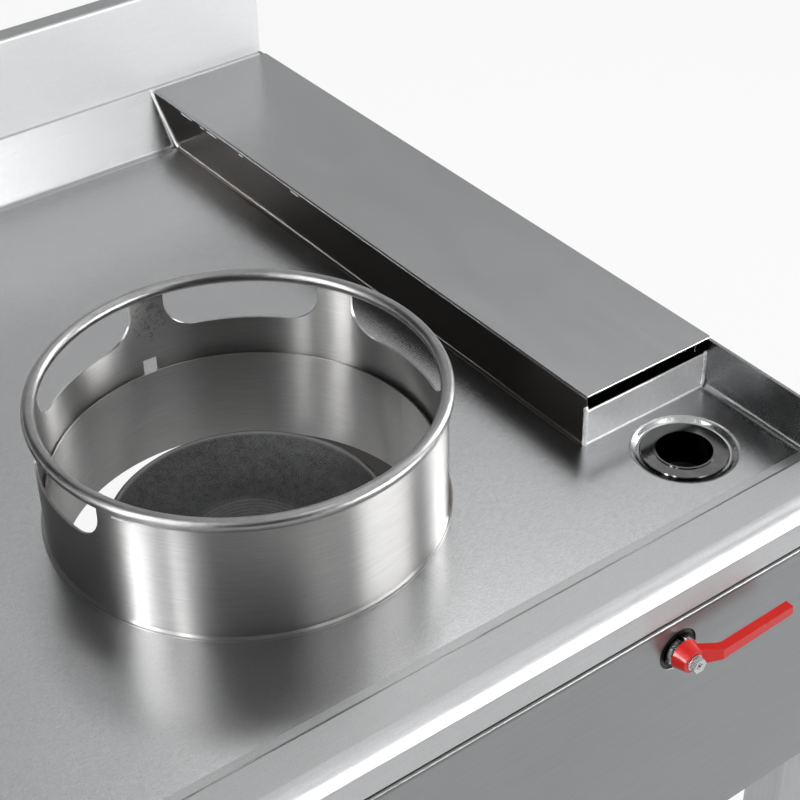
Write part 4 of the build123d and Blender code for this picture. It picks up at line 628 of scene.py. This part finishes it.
tack_x, tack_z = hood_low[0] + 0.0003, hood_height - 0.0042
tacks = ((0.372, 0.352), (0.335, 0.329), (0.322, 0.305), (0.262, 0.256), (0.170, 0.158))
for tack_from, tack_to in tacks:
    welded(
        "hood_edge_tack_%d" % round(tack_from * 1000),
        [[(tack_x, tack_from, tack_z), (tack_x, tack_to, tack_z)]], 0.0006, 0.0008,
    )

# ---- Panels ----------------------------------------------------------------------------------
# Thin stainless panels round the body, brushed in straight lines from side to side.  Their
# folded top edge, under the rim, is painted a flat dark grey: painted shade.
panel_low, panel_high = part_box("front_panel")
lip_height = panel_high[2] - 0.0055
brushed = Finish("brushed_panel_steel")
lines = brushed.noise(2.2, 3.0, 0.7, stretch=(10.0, 10.0, 900.0))
patches = brushed.noise(4.0, 3.0, 0.5)
tone = (lines - 0.5) * 0.9 + (patches - 0.5) * 0.25 + 0.5
# Painted shade: 1 on the folded top edge, which is made a flat dark grey.
painted_shade_lip = brushed.along(2).smooth(lip_height, lip_height + 0.0025)
panels = ("front_panel", "left_side_panel", "right_side_panel", "back_panel")
dress(
    panels,
    metal(
        brushed,
        brushed.blend(painted_shade_lip, brushed.blend(tone, grey(122, -1.5), grey(156, -1.5)), grey(112)),
        (lines - 0.5) * 0.16 + 0.34,
        brushed.relief(lines, 0.12),
    ),
)
for panel in panels:
    eased(panel, 0.0005)

# ---- Stand -----------------------------------------------------------------------------------
# Square tube legs, an angle frame and braces of brushed steel, with the grain along the legs.
# The braces are welded to the legs and to each other all round.
tube = Finish("brushed_tube_steel")
along_tube = tube.noise(1.0, 3.0, 0.6, stretch=(700.0, 700.0, 14.0))
patches = tube.noise(9.0, 3.0, 0.5)
tone = (along_tube - 0.5) * 0.8 + (patches - 0.5) * 0.4 + 0.5
stand_steel = metal(
    tube,
    tube.blend(tone, grey(146, -1.0), grey(182, -1.0)),
    (patches - 0.5) * 0.2 + 0.36,
    tube.relief(along_tube, 0.1),
)
tubes = ("leg_front_left", "leg_front_right", "leg_back_left", "leg_back_right", "leg_brace")
dress(("base_frame", *tubes), stand_steel)
for tube_piece in tubes:
    eased(tube_piece, 0.0012)

brace_corner, far_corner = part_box("leg_brace")
brace_low, brace_high = brace_corner[2], far_corner[2]
brace_out = far_corner[0]
brace_in = brace_out - (brace_high - brace_low)
front_leg_face, back_leg_face = brace_corner[1] - 0.00005, far_corner[1] - 0.00005
cross_front, cross_back = 0.2978, 0.3278


def square_run(corner, opposite):
    """A closed run of weld round an upright rectangle, from its corner to the opposite one."""
    (x, y), (far_x, far_y) = corner, opposite
    return [
        (x, y, brace_low), (far_x, far_y, brace_low),
        (far_x, far_y, brace_high), (x, y, brace_high), (x, y, brace_low),
    ]


brace_runs = []
for side in (-1, 1):
    for leg_face in (front_leg_face, back_leg_face):
        brace_runs.append(
            square_run((side * brace_in, leg_face), (side * brace_out, leg_face))
        )
    brace_runs.append(
        square_run((side * brace_in, cross_front), (side * brace_in, cross_back))
    )
welded("brace_welds", brace_runs, 0.0017, 0.0018)


# ---- Wok ring and liner ----------------------------------------------------------------------
# Rolled and turned sheet: the tool leaves fine rings round it, so lights stand in it as tall
# bright bands.  Heat has left a dark smear on the post between the windows at the back.
def middle_of(node):
    """The middle of a solid's box, along X, Y and Z."""
    low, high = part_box(node)
    return [(near + far) / 2 for near, far in zip(low, high)]


cap_x, cap_y = middle_of("burner_cap")[:2]
burner_middle = (cap_x, cap_y, deck_height)
stained_post = (cap_x + 0.0114, cap_y + 0.16225, deck_height + 0.0850)
stain_heart, stain_reach = 0.008, 0.022

turned = Finish("turned_ring_steel")
rings = turned.noise(1.3, 3.0, 0.7, stretch=(26.0, 26.0, 1500.0), centre=burner_middle)
haze = turned.noise(9.0, 3.0, 0.5, centre=burner_middle)
stain = turned.noise(210.0, 4.0, 0.75).smooth(0.53, 0.62)
from_post = turned.away(stained_post, (1.0, 1.0, 0.75))
stain = stain * (1.0 - from_post.smooth(stain_heart, stain_reach))
tone = (rings - 0.5) * 0.8 + (haze - 0.5) * 0.3 + 0.5 - stain * 0.9
ring_steel = skin(
    turned,
    turned.blend(tone, grey(130, 1.0), grey(182, 1.0)),
    (rings - 0.5) * 0.06 + 0.34,
    turned.relief(rings, 0.06),
    {"Metallic": 1.0, "Anisotropic": 1.0, "Anisotropic Rotation": 0.25},
)
dress(("wok_ring_wall", "ring_liner", "burner_collar"), ring_steel)

# ---- Rim bar ---------------------------------------------------------------------------------
# A round bar bent to a hoop and polished, on which the wok sits.  Five short runs of weld under
# it hold it to the ring's wall.
bar = Finish("polished_rim_bar")
streak = bar.noise(1.0, 3.0, 0.6, stretch=(60.0, 60.0, 60.0), centre=burner_middle)
dress(
    ("wok_ring_rim",),
    metal(
        bar,
        bar.blend(streak, grey(126), grey(160)),
        (streak - 0.5) * 0.08 + 0.36,
        bar.relief(streak, 0.04),
    ),
)


def around(middle, radius, first, last, height):
    """Points on a level arc round middle, from the first to the last angle in degrees."""
    count = max(2, int(abs(last - first) / 1.5))
    return [
        (
            middle[0] + radius * math.cos(math.radians(first + (last - first) * step / count)),
            middle[1] + radius * math.sin(math.radians(first + (last - first) * step / count)),
            height,
        )
        for step in range(count + 1)
    ]


wall_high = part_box("wok_ring_wall")[1]
seam_radius, seam_height, seam_degrees = wall_high[0] - cap_x + 0.0003, wall_high[2] + 0.0001, 6.0
bar_runs = [
    around(burner_middle, seam_radius, first, first + seam_degrees, seam_height)
    for first in (24.7, 83.3, 141.9, 204.0, 328.0)
]
welded("rim_bar_weld", bar_runs, 0.0007, 0.0009, body="wok_ring")

# ---- Burner ----------------------------------------------------------------------------------
# Grey cast iron, rough as it left the sand.  The cap has a lighter rim with one painted
# highlight line along it, and a turned flat in its middle.
cap_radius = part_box("burner_cap")[1][0] - cap_x
rim_radius, line_inside, line_outside = cap_radius - 0.0065, cap_radius - 0.0052, cap_radius - 0.0040
flat_radius = 0.0440
tool_marks = 1500.0                     # radians to the metre


def sand_cast(name, with_cap_marks):
    """Cast iron with a sandy skin; the cap gets a lighter rim, a painted highlight line and a turned
    middle.
    """
    casting = Finish(name)
    sand = casting.noise(1300.0, 3.0, 0.8, centre=burner_middle)
    pits = casting.noise(130.0, 3.0, 0.6, centre=burner_middle)
    tone = (sand - 0.5) * 1.5 + (pits - 0.5) * 0.4 + 0.34
    rough = (pits - 0.5) * 0.3 + 0.46
    height = sand + pits * 0.6
    if with_cap_marks:
        across = casting.away(burner_middle, (1.0, 1.0, 0.0))
        # The rim is painted lighter.
        lighter_rim = across.smooth(rim_radius, rim_radius + 0.0010)
        # Painted highlight: one bright line along the cap's rounded rim.
        painted_highlight_line = across.smooth(line_inside, line_inside + 0.0008)
        painted_highlight_line = painted_highlight_line * (1.0 - across.smooth(line_outside, line_outside + 0.0010))
        middle = 1.0 - across.smooth(flat_radius, flat_radius + 0.0160)
        turning = casting.noise(1.0, 2.0, 0.5, stretch=(14.0, 14.0, 1.0), centre=burner_middle)
        arcs = ((across * tool_marks + turning * 3.0).wave() * 0.5 + 0.5) * turning
        tone = tone + lighter_rim * 0.25 + painted_highlight_line * 0.9 + middle * (arcs * 0.50 + 0.14)
        rough = rough - middle * 0.08
        height = height * (1.0 - middle * 0.7) + middle * arcs * 0.25
    return metal(
        casting,
        casting.blend(tone, grey(12, -0.5), grey(122, -0.5)),
        rough,
        casting.relief(height, 0.45, 0.0010),
        metallic=0.9,
    )


dress(("burner_cap",), sand_cast("cap_cast_iron", True))
dress(("burner_body", "venturi"), sand_cast("plain_cast_iron", False))

# ---- Burner hangers and pilot bracket --------------------------------------------------------
# Bent steel strip that carries the burner and its pilot under the deck, scorched dark by the
# flame.
scorched = Finish("scorched_steel")
scale_marks = scorched.noise(70.0, 4.0, 0.6)
dress(
    ("burner_hanger_left", "burner_hanger_right", "pilot_bracket"),
    metal(
        scorched,
        scorched.blend(scale_marks, grey(22, 3.0), grey(64, 4.0)),
        (scale_marks - 0.5) * 0.3 + 0.5,
        scorched.relief(scale_marks, 0.15, 0.0004),
        metallic=0.8,
    ),
)

# ---- Pipes and small steel -------------------------------------------------------------------
# Plain drawn stainless tube for gas and waste, with the burner's air shutter and flame probe:
# bright but never polished.
drawn = Finish("drawn_tube_steel")
streak = drawn.noise(1.0, 3.0, 0.6, stretch=(90.0, 90.0, 90.0))
dress(
    ("air_shutter", "flame_probe", "gas_feed_pipe", "gas_inlet_pipe", "drain_pipe", "waste_pipe",
     "overflow_pipe"),
    metal(
        drawn,
        drawn.blend(streak, grey(150), grey(190)),
        (streak - 0.5) * 0.25 + 0.3,
        drawn.relief(streak, 0.08),
    ),
)

# ---- Plated pieces ---------------------------------------------------------------------------
# Plated steel with a faint haze: the ball, stem and nuts of the drain valve, the gas spindle
# and the levelling feet.
plated = Finish("bright_plate")
haze = plated.noise(60.0, 3.0, 0.6)
bright_plate = metal(
    plated,
    plated.blend(haze, grey(176), grey(206)),
    (haze - 0.5) * 0.12 + 0.22,
    plated.relief(haze, 0.03),
)
dress(
    ("drain_valve_ball", "drain_valve_stem", "lever_nut", "valve_gland_nut", "gas_tap_spindle",
     "side_panel_screws", "foot_front_left", "foot_front_right", "foot_back_left",
     "foot_back_right"),
    bright_plate,
)

# ---- Side panel screws -----------------------------------------------------------------------
# Eight countersunk machine screws, plated, with a cross recess.  They hold the side panels to
# the frame, four to a side, and their heads lie flush with the panels.
low_corner, high_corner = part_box("side_panel_screws")
head_radius, shank_radius, head_depth, screws_a_side = 0.0042, 0.0020, 0.0025, 4
slot_length, slot_width, slot_depth = 0.0046, 0.0009, 0.0026

screws = shape_tree(
    "cross_screws",
    {"Places": "NodeSocketGeometry", "Head": "NodeSocketFloat", "Shank": "NodeSocketFloat",
     "Depth": "NodeSocketFloat", "Finish": "NodeSocketMaterial"},
    "Screws",
)
depth = screws.node("NodeGroupInput", out="Depth")
cone = screws.node(
    "GeometryNodeMeshCone",
    None,
    {"Vertices": 32, "Radius Top": screws.node("NodeGroupInput", out="Head"),
     "Radius Bottom": screws.node("NodeGroupInput", out="Shank"), "Depth": depth},
)
sunk = screws.node("ShaderNodeCombineXYZ", None, {2: 0.0 - depth})
recessed = screws.node("GeometryNodeTransform", None, {"Geometry": cone, "Translation": sunk})
for cutter in ((slot_length, slot_width, slot_depth), (slot_width, slot_length, slot_depth)):
    recess = screws.node("GeometryNodeMeshCube", None, {"Size": cutter})
    recessed = screws.node(
        "GeometryNodeMeshBoolean", {"operation": "DIFFERENCE"}, {0: recessed, 1: recess}
    )
facing = screws.node(
    "GeometryNodeInputNamedAttribute",
    {"data_type": "FLOAT_VECTOR"},
    {"Name": "facing"},
    out="Attribute",
)
turned_to = screws.node("FunctionNodeAlignRotationToVector", {"axis": "Z"}, {"Vector": facing})
places = screws.node("NodeGroupInput", out="Places")
close_shape(
    screws,
    screws.node(
        "GeometryNodeInstanceOnPoints",
        None,
        {"Points": places, "Instance": recessed, "Rotation": turned_to},
    ),
)

first_y, last_y = low_corner[1] + head_radius, high_corner[1] - head_radius
screw_z = (low_corner[2] + high_corner[2]) / 2
screw_places, screw_facing = [], []
for side, face_x in ((-1.0, low_corner[0]), (1.0, high_corner[0])):
    for number in range(screws_a_side):
        screw_y = first_y + (last_y - first_y) * number / (screws_a_side - 1)
        screw_places.append((face_x, screw_y, screw_z))
        screw_facing.append((side, 0.0, 0.0))
mesh = bpy.data.meshes.new("cross_screws")
mesh.from_pydata(screw_places, [], [])
way = mesh.attributes.new("facing", "FLOAT_VECTOR", "POINT")
for number, direction in enumerate(screw_facing):
    way.data[number].vector = direction
cross_screws = new_piece("cross_screws", mesh)
grown(
    cross_screws,
    screws,
    {"Head": head_radius, "Shank": shank_radius, "Depth": head_depth, "Finish": bright_plate},
)
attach(cross_screws, "range_body")
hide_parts("side_panel_screws")

# ---- Drain flange ----------------------------------------------------------------------------
# A chromed flange in the pressed dish of the floor.  Its chrome is smoky, and it is painted
# near black at the outer edge and down the throat: painted shade.
flange_x, flange_y = middle_of("drain_flange")[:2]
drain_middle = (flange_x, flange_y, deck_height)
bright_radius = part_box("drain_flange")[1][0] - flange_x - 0.0009
bright_depth, dark_depth = -0.010, -0.030
smoked = Finish("smoky_chrome_and_painted_shade")
film = smoked.noise(70.0, 3.0, 0.6, centre=drain_middle)
across = smoked.away(drain_middle, (1.0, 1.0, 0.0))
height = smoked.along(2) - deck_height
# Painted shade: 0 down the throat and past the outer edge, which go near black.
clear_of_painted_shade = height.smooth(dark_depth, bright_depth)
clear_of_painted_shade = clear_of_painted_shade * (1.0 - across.smooth(bright_radius, bright_radius + 0.0008))
dress(
    ("drain_flange",),
    metal(
        smoked,
        smoked.blend(clear_of_painted_shade, grey(26), smoked.blend(film, grey(104), grey(136))),
        (film - 0.5) * 0.10 + 0.13,
        smoked.relief(film, 0.03),
    ),
)

# ---- Drain valve body ------------------------------------------------------------------------
# A forged ball valve body, nickel plated and dull, and the stop plate on it, which is black
# but for its middle: the hub of the lever has rubbed that bright.
nickel = Finish("dull_nickel")
spots = nickel.noise(240.0, 3.0, 0.6)
dress(
    ("drain_valve_body",),
    metal(
        nickel,
        nickel.blend(spots, grey(96, 2.0), grey(170, 2.0)),
        (spots - 0.5) * 0.2 + 0.30,
        nickel.relief(spots, 0.1),
    ),
)

valve_x, valve_y, valve_z = middle_of("drain_valve_stem")
rubbed_radius = 0.0128
worn_plate = Finish("worn_stop_plate")
scuffs = worn_plate.noise(420.0, 3.0, 0.7)
from_stem = worn_plate.away((valve_x, valve_y, valve_z), (1.0, 0.0, 1.0))
rubbed = from_stem + (scuffs - 0.5) * 0.004
rubbed = 1.0 - rubbed.smooth(rubbed_radius, rubbed_radius + 0.0008)
dress(
    ("valve_stop_plate",),
    metal(
        worn_plate,
        worn_plate.blend(rubbed, grey(16), worn_plate.blend(scuffs, grey(120, 2.0), grey(190, 1.0))),
        (scuffs - 0.5) * 0.1 + 0.26,
        worn_plate.relief(scuffs, 0.1, 0.0002),
    ),
)

# ---- Knob bezel ------------------------------------------------------------------------------
# A thin plated disc behind the gas knob, with four round marks painted on it, whose sizes tell
# the positions apart.
dial_middle = middle_of("knob_bezel")
mark_circle = 0.0341
mark_dots = ((90.0, 0.0008), (180.0, 0.0013), (270.0, 0.0011), (0.0, 0.0009))
bezel = Finish("knob_bezel_plate")
bezel_grain = bezel.noise(60.0, 3.0, 0.6)
marks = 0.0
for turn, dot in mark_dots:
    mark_at = (
        dial_middle[0] + mark_circle * math.cos(math.radians(turn)),
        dial_middle[1],
        dial_middle[2] + mark_circle * math.sin(math.radians(turn)),
    )
    marks = marks + (1.0 - bezel.away(mark_at, (1.0, 0.0, 1.0)).smooth(dot * 0.9, dot * 1.1))
dress(
    ("knob_bezel",),
    metal(
        bezel,
        bezel.blend(marks, bezel.blend(bezel_grain, grey(176), grey(206)), grey(16)),
        (bezel_grain - 0.5) * 0.1 + 0.22,
        bezel.relief(bezel_grain, 0.03),
    ),
)

# ---- Brass fittings --------------------------------------------------------------------------
# Machined brass, a little dulled: the gas tap, the injector and pilot, and the nut that clamps
# the drain flange from below.
yellow = Finish("dull_brass")
tarnish = yellow.noise(80.0, 4.0, 0.6)
dress(
    ("injector", "pilot_burner", "gas_tap_body", "gas_tap_plunger", "drain_locknut"),
    metal(
        yellow,
        yellow.blend(tarnish, (0.36, 0.24, 0.08, 1.0), (0.66, 0.49, 0.22, 1.0)),
        (tarnish - 0.5) * 0.3 + 0.32,
        yellow.relief(tarnish, 0.06),
    ),
)

# ---- Lever and igniter button ----------------------------------------------------------------
# The lever is cast and has a thick coat of gloss red paint, which rounds its edges.  The
# igniter's button is moulded in the same red.
red = Finish("gloss_red_paint")
orange_peel = red.noise(260.0, 2.0, 0.5)
red_paint = skin(
    red,
    red.blend(orange_peel, (0.50, 0.006, 0.004, 1.0), (0.58, 0.010, 0.006, 1.0)),
    (orange_peel - 0.5) * 0.1 + 0.30,
    red.relief(orange_peel, 0.03),
    {"Specular IOR Level": 0.20, "Coat Weight": 0.3, "Coat Roughness": 0.06},
)
dress(("drain_lever", "igniter_button"), red_paint)
eased("drain_lever", 0.0010, body="drain_valve", steps=3)


# ---- Black pieces ----------------------------------------------------------------------------
# The igniter's body is moulded and the drain's gasket is rubber: all black, with a fine
# speckle.  The waste bowl, seen only down the drain, takes the same black: painted shade.
def black_speckle(finish):
    """The colour of a black moulding, its slope and the speckle behind both."""
    speckle = finish.noise(900.0, 2.0, 0.6)
    return finish.blend(speckle, grey(24), grey(44)), finish.relief(speckle, 0.15), speckle


black = Finish("black_moulding_and_painted_shade")
black_colour, black_slope, speckle = black_speckle(black)
skin(black, black_colour, (speckle - 0.5) * 0.2 + 0.46, black_slope)
# The waste bowl's black stands in for the shade down the drain: painted shade.
dress(("igniter_body", "drain_gasket", "waste_bowl"), black.material)

# ---- Valve hole ------------------------------------------------------------------------------
# A flat black ring behind the front panel closes the round hole in it round the neck of the
# drain valve: painted shade, a dark sheet where the inside of the body is in shade.
seal_inside, seal_outside = 0.0105, 0.0240
seal_front = panel_low[1] + 0.00205
seal_back = seal_front + 0.0021
seal_outline = (
    (seal_inside, seal_front), (seal_outside, seal_front),
    (seal_outside, seal_back), (seal_inside, seal_back),
)
seal = bmesh.new()
profile = [seal.verts.new((valve_x + away, y, valve_z)) for away, y in seal_outline]
section = [seal.edges.new((profile[i], profile[(i + 1) % 4])) for i in range(4)]
bmesh.ops.spin(
    seal,
    geom=profile + section,
    cent=(valve_x, valve_y, valve_z),
    axis=(0.0, 1.0, 0.0),
    angle=math.tau,
    steps=64,
)
seal_mesh = sewn("valve_hole_shade_ring", seal)
# Painted shade: this ring is black to stand for the dark inside the body.
seal_mesh.materials.append(black.material)
valve_hole_shade_ring = new_piece("valve_hole_shade_ring", seal_mesh)
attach(valve_hole_shade_ring, "range_body")

# ---- Gas knob --------------------------------------------------------------------------------
# A black moulded knob on the gas spindle.  A short white line is painted on it near its edge,
# and points up when the gas is off.
pointer_half, pointer_foot = 0.0010, dial_middle[2] + 0.0140
dial = Finish("black_knob")
dial_colour, dial_slope, dial_speckle = black_speckle(dial)
aside = (dial.along(0) - dial_middle[0]).size()
pointer = 1.0 - aside.smooth(pointer_half, pointer_half + 0.0003)
pointer = pointer * dial.along(2).smooth(pointer_foot, pointer_foot + 0.0004)
knob_black = skin(
    dial,
    dial.blend(pointer, dial_colour, grey(225)),
    (dial_speckle - 0.5) * 0.2 + 0.42,
    dial_slope,
)
dress(("gas_knob",), knob_black)
